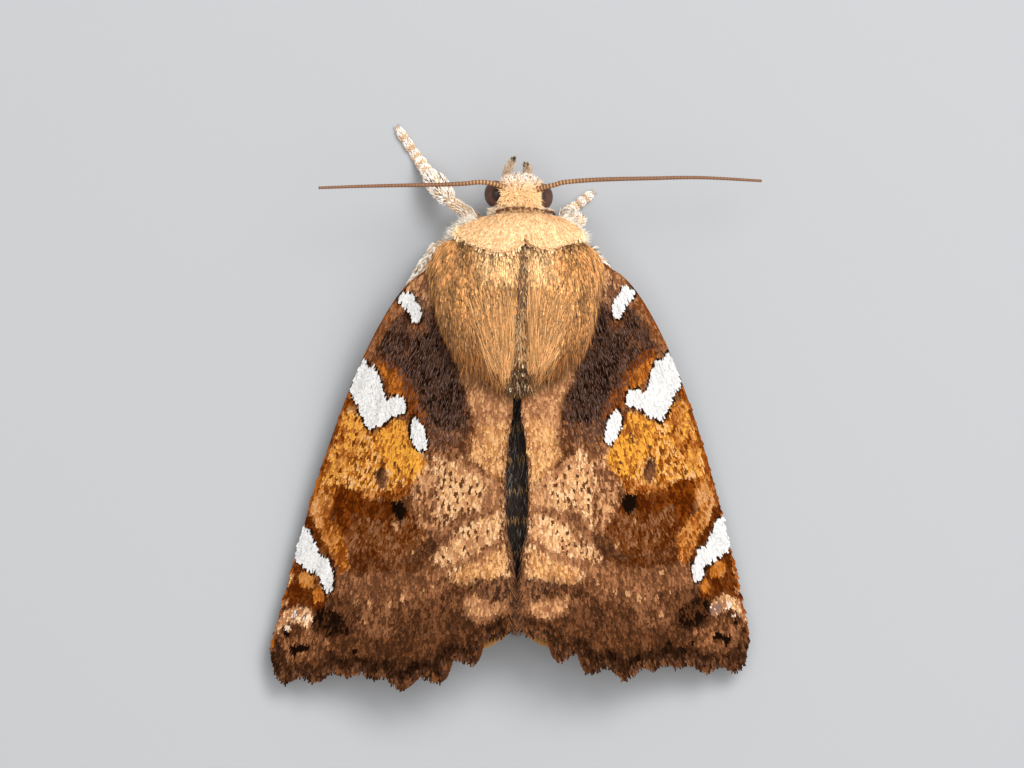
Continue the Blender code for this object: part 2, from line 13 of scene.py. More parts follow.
import bpy
import numpy as np
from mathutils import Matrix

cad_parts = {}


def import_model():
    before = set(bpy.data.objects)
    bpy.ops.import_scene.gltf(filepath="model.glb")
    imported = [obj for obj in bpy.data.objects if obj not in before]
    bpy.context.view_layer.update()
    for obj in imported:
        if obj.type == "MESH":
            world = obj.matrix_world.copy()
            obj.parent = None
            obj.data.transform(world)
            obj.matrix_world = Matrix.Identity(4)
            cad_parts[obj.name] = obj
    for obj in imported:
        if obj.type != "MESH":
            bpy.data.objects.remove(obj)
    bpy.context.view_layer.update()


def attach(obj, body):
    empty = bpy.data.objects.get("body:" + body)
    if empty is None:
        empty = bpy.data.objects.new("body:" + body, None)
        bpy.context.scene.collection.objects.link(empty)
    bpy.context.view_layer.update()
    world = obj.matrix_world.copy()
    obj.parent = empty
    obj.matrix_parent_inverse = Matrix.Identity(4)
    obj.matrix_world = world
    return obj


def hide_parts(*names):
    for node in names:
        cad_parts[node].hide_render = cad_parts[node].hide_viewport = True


LOG = logging.getLogger("moth")
MM = 0.001
PHOTO_SCALE = 27.0  # pixels of the photograph to a millimetre
PHOTO_MIDDLE = (517.0, 406.5)  # the pixel over the frame's origin
BAKE_PATCH = 0.003  # width of one scale's patch on the unwrap
WING_SPAN = (9.4, 16.2)  # the wing's plan that the unwrap takes in
WING_START = (0, 0.34)
LAMP_SHARE = (1.28, 1.26, 1.14)  # how much brighter a scale shows than its paint
HAZE = (0.012, 0.0045, 0.003)  # light that a scale takes from those around it
Array = np.ndarray
Colour = tuple[float, float, float]


def paint(red: int, green: int, blue: int) -> Colour:
    """Turn display values from 0 to 255 into linear light.

    Args:
        red: Red on the display scale.
        green: Green on the display scale.
        blue: Blue on the display scale.

    Returns:
        The colour in linear light.
    """
    values = np.array([red, green, blue]) / 255.0
    low = values / 12.92
    high = ((values + 0.055) / 1.055) ** 2.4
    return tuple(float(part) for part in np.where(values <= 0.04045, low, high))


def seen(red: int, green: int, blue: int) -> Colour:
    """Find the paint of a matt scale that shows as these display values under the lamps.

    Args:
        red: Red on the display scale.
        green: Green on the display scale.
        blue: Blue on the display scale.

    Returns:
        The linear value less the light from the scales around, over the share that comes back.
    """
    return tuple(max(0.55 * part, part - haze) / share for part, haze, share
                 in zip(paint(red, green, blue), HAZE, LAMP_SHARE))


def from_photo(pixels: Sequence[tuple[float, float]]) -> Array:
    """Turn pixels of the photograph into places in plan.

    Args:
        pixels: Columns and rows in the photograph.

    Returns:
        An array of x and y in millimetres.
    """
    spots = np.array(pixels, dtype=float)
    return np.stack([PHOTO_MIDDLE[0] - spots[:, 0], spots[:, 1] - PHOTO_MIDDLE[1]], 1) / PHOTO_SCALE


def ramp(low: float, high: float, values: Array) -> Array:
    """Rise smoothly from 0 at low to 1 at high, by the cubic 3t^2 - 2t^3."""
    share = np.clip((values - low) / (high - low), 0, 1)
    return share * share * (3 - 2 * share)


def unit(vectors: Array) -> Array:
    """Scale each vector to length 1."""
    return vectors / np.maximum(np.linalg.norm(vectors, axis=-1, keepdims=True), 1e-12)


def mixed(first: Array | Colour, second: Array | Colour, share: Array) -> Array:
    """Mix two colours, or two rows of colours, by the second one's share."""
    return np.array(first) * (1 - share) + np.array(second) * share


def varied(draw: np.random.Generator, count: int, base: Array | Colour, low: float,
           high: float) -> Array:
    """Repeat a colour with a random brightness between two shares of its own."""
    return np.array(base) * draw.uniform(low, high, (count, 1))


def upright(count: int) -> Array:
    """Point straight up, once for each scale."""
    return np.tile([0, 0, 1.0], (count, 1))


def laid(lean: Array, up: Array, share: float = 1.0) -> Array:
    """Take a share of the rise out of directions, so that they lie along a surface."""
    return unit(lean - up * (lean * up).sum(1, keepdims=True) * share)


def wing_unwrap(flat: Array) -> Array:
    """Spread a wing's plan over the bake unwrap."""
    return flat / WING_SPAN + WING_START


def nearest_step(spots: Array, path: Array) -> Array:
    """Find the number of the place on a path that is nearest to each spot."""
    return np.argmin(((spots[:, None] - path[None]) ** 2).sum(-1), axis=1)


def smooth_path(points: Sequence[Sequence[float]], count: int) -> Array:
    """Run a Catmull-Rom curve through points, with even steps along its length.

    Args:
        points: Places that the curve passes through.
        count: How many places to return.

    Returns:
        An array of places along the curve.
    """
    places = np.array(points, dtype=float)
    frame = np.vstack([2 * places[0] - places[1], places, 2 * places[-1] - places[-2]])
    t = np.linspace(0, 1, 24, endpoint=False)[None, :, None]
    a, b, c, d = (frame[k:len(frame) - 3 + k, None, :] for k in range(4))
    curve = 0.5 * (2 * b + (c - a) * t + (2 * a - 5 * b + 4 * c - d) * t ** 2
                   + (3 * b - a - 3 * c + d) * t ** 3)
    dense = np.vstack([curve.reshape(-1, places.shape[1]), places[-1:]])
    return resample(dense, count)


def resample(path: Array, count: int) -> Array:
    """Space places evenly along a path of straight runs.

    Args:
        path: Places along the path.
        count: How many places to return.

    Returns:
        An array of evenly spaced places.
    """
    reach = np.concatenate([[0], np.cumsum(np.linalg.norm(np.diff(path, axis=0), axis=1))])
    wanted = np.linspace(0, reach[-1], count)
    return np.stack([np.interp(wanted, reach, part) for part in path.T], 1)


def distance_to(places: Array, path: Array) -> Array:
    """Find how far each place is from a path of straight runs.

    Args:
        places: Places in plan.
        path: Places along the path.

    Returns:
        The shortest distance of each place.
    """
    best = np.full(len(places), np.inf)
    for start, end in zip(path, path[1:]):
        run = end - start
        share = np.clip((places - start) @ run / max(run @ run, 1e-12), 0, 1)
        best = np.minimum(best, np.linalg.norm(places - start - share[:, None] * run, axis=1))
    return best


def depth_inside(places: Array, outline: Array) -> Array:
    """Measure how deep each place lies inside an outline.

    Args:
        places: Places in plan.
        outline: Corners of the closed outline.

    Returns:
        The distance to the outline, positive inside it and negative outside.
    """
    ring = np.vstack([outline, outline[:1]])
    inside = np.zeros(len(places), dtype=bool)
    x, y = places.T
    for (ax, ay), (bx, by) in zip(ring, ring[1:]):
        crosses = (ay > y) != (by > y)
        level = (bx - ax) * (y - ay) / (by - ay if by != ay else 1e-12) + ax
        inside ^= crosses & (x < level)
    away = distance_to(places, ring)
    return np.where(inside, away, -away)


@dataclass
class Noise:
    """Smooth noise in plan, blended from random values at the corners of a square lattice."""

    seed: int
    table: Array = field(init=False)

    def __post_init__(self) -> None:
        """Draw the lattice's values."""
        self.table = np.random.default_rng(self.seed).random((256, 256))

    def at(self, places: Array, size: float) -> Array:
        """Read the noise.

        Args:
            places: Places in plan.
            size: Width of one lattice square.

        Returns:
            A value from 0 to 1 for each place.
        """
        grid = places / size
        low = np.floor(grid).astype(int)
        part = grid - low
        part = part * part * (3 - 2 * part)
        i, j = low[:, 0] % 256, low[:, 1] % 256
        k, m = (i + 1) % 256, (j + 1) % 256
        near = self.table[i, j] * (1 - part[:, 0]) + self.table[k, j] * part[:, 0]
        far = self.table[i, m] * (1 - part[:, 0]) + self.table[k, m] * part[:, 0]
        return near * (1 - part[:, 1]) + far * part[:, 1]


class Slot(enum.Enum):
    """Names of material slots."""

    BODY = "body_fur"
    PALE = "pale_fur"
    DARK = "dark_fur"
    EYE = "eye"
    FOREWING = "forewing"
    HINDWING = "hindwing"
    FEELER = "antenna"
    LEG = "leg"


@dataclass(frozen=True)
class ScaleFinish:
    """Matt scales and hairs, coloured by each mesh's own tint and varied by fine grain."""

    name: str
    roughness: float = 0.62
    grain: float = 0.25
    grain_size: float = 9000.0
    sheen: float = 0.0
    bump: float = 0.15
    gloss: float = 0.2

    def material(self) -> bpy.types.Material:
        """Build the material.

        Returns:
            A material that reads the tint attribute and Object coordinates.
        """
        made = bpy.data.materials.new(self.name)
        made.use_nodes = True
        nodes, links = made.node_tree.nodes, made.node_tree.links
        shader = nodes["Principled BSDF"]
        shader.inputs["Roughness"].default_value = self.roughness
        shader.inputs["Sheen Weight"].default_value = self.sheen
        shader.inputs["Sheen Tint"].default_value = (1.0, 0.86, 0.64, 1.0)
        shader.inputs["Specular IOR Level"].default_value = self.gloss
        tint = nodes.new("ShaderNodeAttribute")
        tint.attribute_name = "tint"
        place = nodes.new("ShaderNodeTexCoord")
        grain = nodes.new("ShaderNodeTexNoise")
        grain.inputs["Scale"].default_value = self.grain_size
        grain.inputs["Detail"].default_value = 2.0
        shade = nodes.new("ShaderNodeMapRange")
        shade.inputs["To Min"].default_value = 1 - self.grain
        shade.inputs["To Max"].default_value = 1 + self.grain
        mixed = nodes.new("ShaderNodeVectorMath")
        mixed.operation = "SCALE"
        bump = nodes.new("ShaderNodeBump")
        bump.inputs["Strength"].default_value = self.bump
        bump.inputs["Distance"].default_value = 0.00002
        links.new(place.outputs["Object"], grain.inputs["Vector"])
        links.new(grain.outputs["Fac"], shade.inputs["Value"])
        links.new(tint.outputs["Color"], mixed.inputs[0])
        links.new(shade.outputs["Result"], mixed.inputs["Scale"])
        links.new(mixed.outputs["Vector"], shader.inputs["Base Color"])
        links.new(grain.outputs["Fac"], bump.inputs["Height"])
        links.new(bump.outputs["Normal"], shader.inputs["Normal"])
        return made


@dataclass(frozen=True)
class EyeFinish:
    """Glossy brown-black facets, darker towards the middle of the eye's outer side."""

    name: str = "faceted_eye"
    rim: Colour = paint(88, 60, 50)
    core: Colour = paint(34, 22, 20)
    facet_scale: float = 26000.0

    def material(self) -> bpy.types.Material:
        """Build the material.

        Returns:
            A glossy material whose facets come from a fine cell pattern.
        """
        made = bpy.data.materials.new(self.name)
        made.use_nodes = True
        nodes, links = made.node_tree.nodes, made.node_tree.links
        shader = nodes["Principled BSDF"]
        shader.inputs["Roughness"].default_value = 0.5
        shader.inputs["Specular IOR Level"].default_value = 0.16
        shader.inputs["Coat Weight"].default_value = 0.02
        shader.inputs["Coat Roughness"].default_value = 0.1
        tint = nodes.new("ShaderNodeAttribute")
        tint.attribute_name = "tint"
        place = nodes.new("ShaderNodeTexCoord")
        cells = nodes.new("ShaderNodeTexVoronoi")
        cells.inputs["Scale"].default_value = self.facet_scale
        bump = nodes.new("ShaderNodeBump")
        bump.inputs["Strength"].default_value = 0.25
        bump.inputs["Distance"].default_value = 0.00001
        bump.invert = True
        links.new(place.outputs["Object"], cells.inputs["Vector"])
        links.new(cells.outputs["Distance"], bump.inputs["Height"])
        links.new(tint.outputs["Color"], shader.inputs["Base Color"])
        links.new(bump.outputs["Normal"], shader.inputs["Normal"])
        return made


@dataclass
class Surface:
    """Triangles in millimetres with a flat unwrap for each face's corners."""

    vertices: Array
    faces: Array
    unwrap: Array | None = None

    def corners(self) -> tuple[Array, Array, Array]:
        """Look up the places of the faces' three corners."""
        return tuple(self.vertices[self.faces[:, k]] for k in range(3))

    def turned_out(self) -> "Surface":
        """Turn a closed surface's faces outwards, judged by its signed volume.

        Returns:
            The surface itself.
        """
        a, b, c = self.corners()
        if np.einsum("ij,ij->i", a, np.cross(b, c)).sum() < 0:
            self.faces = self.faces[:, ::-1]
            if self.unwrap is not None:
                self.unwrap = self.unwrap[:, ::-1]
        return self

    def normals(self) -> Array:
        """Average the faces' normals at each vertex, weighted by area.

        Returns:
            A unit normal for each vertex.
        """
        a, b, c = self.corners()
        flat = np.cross(b - a, c - a)
        total = np.zeros_like(self.vertices)
        for corner in range(3):
            np.add.at(total, self.faces[:, corner], flat)
        return unit(total)

    def scatter(self, count: int, draw: np.random.Generator) -> tuple[Array, Array, Array]:
        """Choose places spread at random by area.

        Args:
            count: How many places to choose.
            draw: Source of random numbers.

        Returns:
            Places, their normals and their places on the unwrap.
        """
        a, b, c = self.corners()
        area = np.linalg.norm(np.cross(b - a, c - a), axis=1)
        reach = np.cumsum(area)
        steps = (np.arange(count) + draw.random(count)) / count * reach[-1]
        chosen = np.minimum(np.searchsorted(reach, steps), len(self.faces) - 1)
        first, second = draw.random(count), draw.random(count)
        over = first + second > 1
        first[over], second[over] = 1 - first[over], 1 - second[over]
        shares = np.stack([1 - first - second, first, second], 1)[:, :, None]
        normals = self.normals()
        spots = (self.vertices[self.faces[chosen]] * shares).sum(1)
        ups = unit((normals[self.faces[chosen]] * shares).sum(1))
        flat = (np.zeros((count, 2)) if self.unwrap is None
                else (self.unwrap[chosen] * shares).sum(1))
        return spots, ups, flat


def merged(surfaces: Sequence[Surface]) -> Surface:
    """Join surfaces into one, keeping each as a body of its own.

    Args:
        surfaces: Surfaces to join.

    Returns:
        One surface with every vertex and face.
    """
    starts = np.cumsum([0, *[len(part.vertices) for part in surfaces]])
    return Surface(np.vstack([part.vertices for part in surfaces]),
                   np.vstack([part.faces + start for part, start in zip(surfaces, starts)]),
                   None if surfaces[0].unwrap is None
                   else np.vstack([part.unwrap for part in surfaces]))


def loft(rings: Array) -> Surface:
    """Close a stack of rings into one body, with a vertex at each end.

    Args:
        rings: An array of rings by points by three coordinates.

    Returns:
        A closed surface, unwrapped with its ends at the bottom and the top.
    """
    count, sides, _ = rings.shape
    index = np.arange(count * sides).reshape(count, sides)
    ahead = np.roll(index, -1, axis=1)
    low, high = np.arange(count) / (count - 1), (np.arange(sides) / sides)
    flat = np.stack(np.broadcast_arrays(high[None, :], low[:, None]), -1)
    flat_ahead = np.stack(np.broadcast_arrays(high[None, :] + 1 / sides, low[:, None]), -1)
    a, b, c, d = index[:-1], ahead[:-1], ahead[1:], index[1:]
    fa, fb, fc, fd = flat[:-1], flat_ahead[:-1], flat_ahead[1:], flat[1:]
    faces = [np.stack([a, b, c], -1).reshape(-1, 3), np.stack([a, c, d], -1).reshape(-1, 3)]
    unwrap = [np.stack([fa, fb, fc], 2).reshape(-1, 3, 2),
              np.stack([fa, fc, fd], 2).reshape(-1, 3, 2)]
    poles = np.vstack([rings[0].mean(0), rings[-1].mean(0)])
    start, end = count * sides, count * sides + 1
    faces += [np.stack([np.full(sides, start), ahead[0], index[0]], -1),
              np.stack([np.full(sides, end), index[-1], ahead[-1]], -1)]
    unwrap += [np.stack([flat[0], flat_ahead[0], flat[0]], 1),
               np.stack([flat[-1], flat[-1], flat_ahead[-1]], 1)]
    return Surface(np.vstack([rings.reshape(-1, 3), poles]), np.vstack(faces),
                   np.vstack(unwrap)).turned_out()


def tube(path: Array, radii: Array, sides: int, flatten: float = 1.0) -> Surface:
    """Carry a round or flattened section along a path, its frame turned as little as possible.

    Args:
        path: Places along the middle line.
        radii: Radius at each place.
        sides: Points round the section.
        flatten: Height of the section as a share of its width.

    Returns:
        A closed surface.
    """
    ahead = unit(np.gradient(path, axis=0))
    across = np.zeros_like(path)
    first = np.cross(ahead[0], [0, 0, 1.0])
    across[0] = unit(first if np.linalg.norm(first) > 1e-3 else np.array([1.0, 0, 0]))
    for k in range(1, len(path)):
        level = across[k - 1] - ahead[k] * (across[k - 1] @ ahead[k])
        across[k] = unit(level)
    upward = np.cross(across, ahead)
    angle = np.linspace(0, 2 * np.pi, sides, endpoint=False)
    rings = (path[:, None] + radii[:, None, None]
             * (np.cos(angle)[None, :, None] * across[:, None]
                + flatten * np.sin(angle)[None, :, None] * upward[:, None]))
    return loft(rings)


def grid_shell(top: Array, under: Array) -> Surface:
    """Close two matching grids into a thin shell.

    Args:
        top: Rows by columns by three, seen from above.
        under: The same grid, lower.

    Returns:
        A closed surface, unwrapped in plan.
    """
    rows, columns, _ = top.shape
    index = np.arange(rows * columns).reshape(rows, columns)
    a, b, c, d = index[:-1, :-1], index[1:, :-1], index[1:, 1:], index[:-1, 1:]
    upper = np.vstack([np.stack([a, b, c], -1).reshape(-1, 3),
                       np.stack([a, c, d], -1).reshape(-1, 3)])
    lower = upper[:, ::-1] + rows * columns
    rim = np.concatenate([index[0, :-1], index[:-1, -1], index[-1, :0:-1], index[:0:-1, 0]])
    onward = np.roll(rim, -1)
    wall = np.vstack([np.stack([rim, onward, onward + rows * columns], -1),
                      np.stack([rim, onward + rows * columns, rim + rows * columns], -1)])
    vertices = np.vstack([top.reshape(-1, 3), under.reshape(-1, 3)])
    faces = np.vstack([upper, lower, wall])
    low, high = vertices[:, :2].min(0), vertices[:, :2].max(0)
    return Surface(vertices, faces, ((vertices[:, :2] - low) / (high - low))[faces]).turned_out()


@dataclass
class Coat:
    """Many small scales or hairs gathered into one mesh with tints and an unwrap."""

    vertices: list[Array] = field(default_factory=list)
    faces: list[Array] = field(default_factory=list)
    tints: list[Array] = field(default_factory=list)
    flats: list[Array] = field(default_factory=list)
    used: int = 0

    def _keep(self, corners: Array, pattern: Array, tints: Array, flats: Array) -> None:
        """Store forms that share one pattern of faces.

        Args:
            corners: Forms by vertices by three coordinates.
            pattern: Faces of one form, as vertex numbers.
            tints: Forms by vertices by three colour values.
            flats: Root of each form on the unwrap.
        """
        count, size, _ = corners.shape
        starts = self.used + np.arange(count)[:, None, None] * size
        self.vertices.append(corners.reshape(-1, 3))
        self.faces.append((pattern[None] + starts).reshape(-1, 3))
        self.tints.append(tints.reshape(-1, 3))
        around = 2 * np.pi * np.arange(size) / size
        patch = BAKE_PATCH / 2 * np.stack([np.cos(around), np.sin(around)], 1)
        self.flats.append((flats[:, None] + patch[None]).reshape(-1, 2))
        self.used += count * size

    def scales(self, roots: Array, ahead: Array, up: Array, length: Array, width: Array,
               lift: Array, tints: Array, flats: Array, tips: Array | None = None) -> None:
        """Add flat scales, narrow at the root and broad at a slightly raised end.

        Args:
            roots: Where each scale starts.
            ahead: Direction that it lies in.
            up: Normal of the surface below.
            length: Length of each scale.
            width: Width at its broad end.
            lift: How far the broad end is raised.
            tints: Colour of each scale.
            flats: Root on the unwrap.
            tips: How light each broad end is beside the rest of its scale.
        """
        across = unit(np.cross(ahead, up))
        half = across * width[:, None] / 2
        run, rise = ahead * length[:, None], up * lift[:, None]
        sink = up * 0.012
        middle, end = roots + run * 0.4 + rise * 0.5, roots + run + rise
        corners = np.stack([roots - sink, middle + half, middle - half, end + half * 0.9,
                            end - half * 0.9, roots + run * 0.6 - sink], 1)
        pattern = np.array([[0, 1, 2], [2, 1, 3], [2, 3, 4], [1, 0, 5], [3, 1, 5], [4, 3, 5],
                            [2, 4, 5], [0, 2, 5]])
        # Painted shade and light: each scale is darker at its root and underside, where the scale
        # before it covers it, and lighter at its raised broad end.
        shade = np.tile(np.array([0.7, 0.9, 0.9, 1.04, 1.04, 0.7])[None, :, None],
                        (len(roots), 1, 1))
        if tips is not None:
            shade[:, 3:5, 0] *= tips[:, None]
        self._keep(corners, pattern, tints[:, None] * shade, flats)

    def hairs(self, roots: Array, ahead: Array, up: Array, length: Array, width: Array,
              lift: Array, tints: Array, flats: Array, sway: Array | None = None,
              tips: Array | None = None) -> None:
        """Add hairs with three sides, bent once and drawn out to a point.

        Args:
            roots: Where each hair starts.
            ahead: Direction that it lies in.
            up: Normal of the surface below.
            length: Length of each hair.
            width: Width at its root.
            lift: How far its tip stands off the surface.
            tints: Colour of each hair.
            flats: Root on the unwrap.
            sway: How far the tip swings to its side.
            tips: How light each tip is beside the rest of its hair.
        """
        across = unit(np.cross(ahead, up))
        swing = 0 if sway is None else across * sway[:, None]
        base = roots - up * 0.03
        middle = roots + ahead * length[:, None] * 0.5 + up * lift[:, None] * 0.75 + swing * 0.3
        tip = roots + ahead * length[:, None] + up * lift[:, None] + swing
        angle = np.radians([90.0, 210.0, 330.0])[None, :, None]
        ring = np.cos(angle) * across[:, None] + 0.6 * np.sin(angle) * up[:, None]
        half = width[:, None, None] / 2
        corners = np.concatenate([base[:, None] + ring * half, middle[:, None] + ring * half * 0.85,
                                  tip[:, None]], 1)
        pattern = [[0, 1, 2]]
        for near in range(3):
            far = (near + 1) % 3
            pattern += [[near, near + 3, far + 3], [near, far + 3, far], [near + 3, 6, far + 3]]
        # Painted shade and light: each hair is darker at its root, deep in the coat, and lighter
        # towards its tip.
        shade = np.tile(np.array([0.72] * 3 + [1.0] * 3 + [1.12])[None, :, None],
                        (len(roots), 1, 1))
        if tips is not None:
            shade[:, 6, 0] *= tips
            shade[:, 3:6, 0] *= np.sqrt(tips)[:, None]
        self._keep(corners, np.array(pattern), tints[:, None] * shade, flats)

    def surface(self) -> Surface:
        """Join everything that was added."""
        return Surface(np.vstack(self.vertices), np.vstack(self.faces))


@dataclass
class Maker:
    """Turns surfaces into pieces of the scene and keeps one material for each finish."""

    materials: dict[str, bpy.types.Material] = field(default_factory=dict)

    def piece(self, name: str, surface: Surface, tints: Array | Colour,
              finish: ScaleFinish | EyeFinish, stands_for: Sequence[str] = (),
              flats: Array | None = None, smooth: bool = True) -> bpy.types.Object:
        """Make one piece that rides on the moth.

        Args:
            name: The piece's name.
            surface: Its triangles in millimetres.
            tints: Colour of each vertex, or one colour for all.
            finish: Its finish.
            stands_for: Nodes of the frame that it replaces.
            flats: Places of its vertices on the bake unwrap.
            smooth: Whether its faces are shaded smooth.

        Returns:
            The new object.
        """
        count, corners = len(surface.vertices), surface.faces.astype(np.int32)
        mesh = bpy.data.meshes.new(name)
        mesh.vertices.add(count)
        mesh.vertices.foreach_set("co", (surface.vertices * MM).astype(np.float32).ravel())
        mesh.loops.add(corners.size)
        mesh.loops.foreach_set("vertex_index", corners.ravel())
        mesh.polygons.add(len(corners))
        mesh.polygons.foreach_set("loop_start", np.arange(0, corners.size, 3, dtype=np.int32))
        mesh.update(calc_edges=True)
        mesh.polygons.foreach_set("use_smooth", np.full(len(corners), smooth))
        tints = np.broadcast_to(np.array(tints), (count, 3))
        tints = tints / np.maximum(1, tints.max(1, keepdims=True))
        colours = np.concatenate([np.maximum(tints, 0), np.ones((count, 1))], 1)
        layer = mesh.color_attributes.new(name="tint", type="FLOAT_COLOR", domain="POINT")
        layer.data.foreach_set("color", colours.astype(np.float32).ravel())
        if flats is not None:
            unwrap = mesh.uv_layers.new(name="OFBake")
            unwrap.data.foreach_set("uv", flats[corners.ravel()].astype(np.float32).ravel())
        if finish.name not in self.materials:
            self.materials[finish.name] = finish.material()
        mesh.materials.append(self.materials[finish.name])
        made = bpy.data.objects.new(name, mesh)
        bpy.context.scene.collection.objects.link(made)
        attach(made, "root")
        if stands_for:
            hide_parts(*stands_for)
        LOG.info("%s: %d triangles", name, len(corners))
        return made

    def coat(self, name: str, coat: Coat, finish: ScaleFinish, slot: Slot) -> bpy.types.Object:
        """Make the piece of a coat.

        Args:
            name: The piece's name.
            coat: Its scales and hairs.
            finish: Its finish.
            slot: Its material slot; not used.

        Returns:
            The new object.
        """
        return self.piece(name, coat.surface(), np.vstack(coat.tints), finish,
                          flats=np.vstack(coat.flats), smooth=False)


WING_SCALES = ScaleFinish("wing_scales", roughness=0.8, grain=0.12, gloss=0.0)
FUR = ScaleFinish("long_scales", roughness=0.58, grain=0.15, sheen=0.12, gloss=0.15)
MEMBRANE = ScaleFinish("scaled_membrane", roughness=0.7, grain=0.35, gloss=0.1)
FEELER_SCALES = ScaleFinish("feeler_scales", roughness=0.5, grain=0.2)


@dataclass(frozen=True)
class Side:
    """One side of the body, and how its forewing is held."""

    tag: str
    sign: int
    sweep: float
    narrowing: float
    gather: float
    seed: int

    def place(self, flat: Array) -> Array:
        """Carry places of the left wing's plan over to this side.

        Args:
            flat: Places on the left wing.

        Returns:
            Places on this side, swept forward and drawn in as this wing is held.
        """
        x = flat[..., 0] * (1 - self.narrowing * (flat[..., 1] - Roof.costa_front_y))
        fold = np.exp(-((flat[..., 0] - 3.4) / 1.9) ** 2) * (
            ramp(6.5, 10.2, flat[..., 1]) + 0.6 * np.exp(-((flat[..., 1] - 0.8) / 2.6) ** 2))
        y = flat[..., 1] - self.sweep * np.maximum(0, flat[..., 0] - 1.2) - self.gather * fold
        return np.stack([self.sign * x, y], -1)


@dataclass(frozen=True)
class Roof:
    """The low roof that the forewings make, from the ridge down to the eave at the costa."""

    costa_front_y: float = -5.4
    costa_run_y: float = 14.3
    costa_root_x: float = 2.7
    costa_run_x: float = 6.45
    costa_bow: float = 0.55
    ridge_front: float = 4.1
    ridge_back: float = 3.7
    eave_back: float = 0.95
    eave_rise: float = 2.1
    eave_curve: float = 2.2
    roof_curve: float = 1.3

    def costa_x(self, y: Array) -> Array:
        """Distance of the costa from the midline, a root of the way along."""
        along = np.clip((y - self.costa_front_y) / self.costa_run_y, 0.03, 1)
        return self.costa_root_x + self.costa_run_x * along ** self.costa_bow

    def height(self, flat: Array) -> Array:
        """Height of the upper face, falling from the ridge as a power of the way across.

        Args:
            flat: Places on the left wing.

        Returns:
            Heights in millimetres.
        """
        x, y = np.abs(flat[..., 0]), flat[..., 1]
        along = np.clip((y - self.costa_front_y) / self.costa_run_y, 0, 1)
        ridge = self.ridge_front + (self.ridge_back - self.ridge_front) * along
        eave = self.eave_back + self.eave_rise * (1 - along) ** self.eave_curve
        return ridge - (ridge - eave) * (x / self.costa_x(y)) ** self.roof_curve


ROOF = Roof()
SIDES = (Side("l", 1, 0.0, 0.0, 0.0, 11), Side("r", -1, 0.06, 0.0038, 0.25, 12))


SOOT = seen(32, 18, 10)
COFFEE = seen(52, 29, 16)
OXBLOOD = seen(82, 36, 8)
BARK = seen(67, 40, 25)
COCOA = seen(85, 49, 27)
MAHOGANY = seen(104, 48, 12)
SMOKE = seen(80, 54, 40)
SEPIA = seen(98, 60, 37)
RUSSET = seen(113, 62, 27)
RUST = seen(128, 62, 17)
WALNUT = seen(115, 71, 42)
GINGER = seen(144, 77, 31)
HAZEL = seen(129, 81, 49)
TAUPE = seen(143, 94, 60)
AMBER = seen(168, 92, 30)
TAN = seen(162, 106, 67)
ORANGE = seen(190, 115, 44)
FAWN = seen(179, 122, 79)
HONEY = seen(197, 132, 68)
YELLOW = seen(227, 157, 58)
SAND = seen(208, 152, 99)
STRAW = seen(228, 172, 109)
CREAM = seen(236, 190, 137)
IVORY = seen(236, 222, 205)
WHITE = seen(229, 224, 211)
DASH = seen(136, 104, 88)
FRINGE_TONES = (COFFEE, BARK, SMOKE, WALNUT)

@dataclass(frozen=True)
class Patch:
    """One marking of the forewing: its outline in the photograph and its tones, dark to light."""

    name: str
    outline: tuple[tuple[float, float], ...]
    tones: tuple[Colour, ...]
    soft: float = 0.16
    dots: float = 0.0
    fleck: Colour = SEPIA


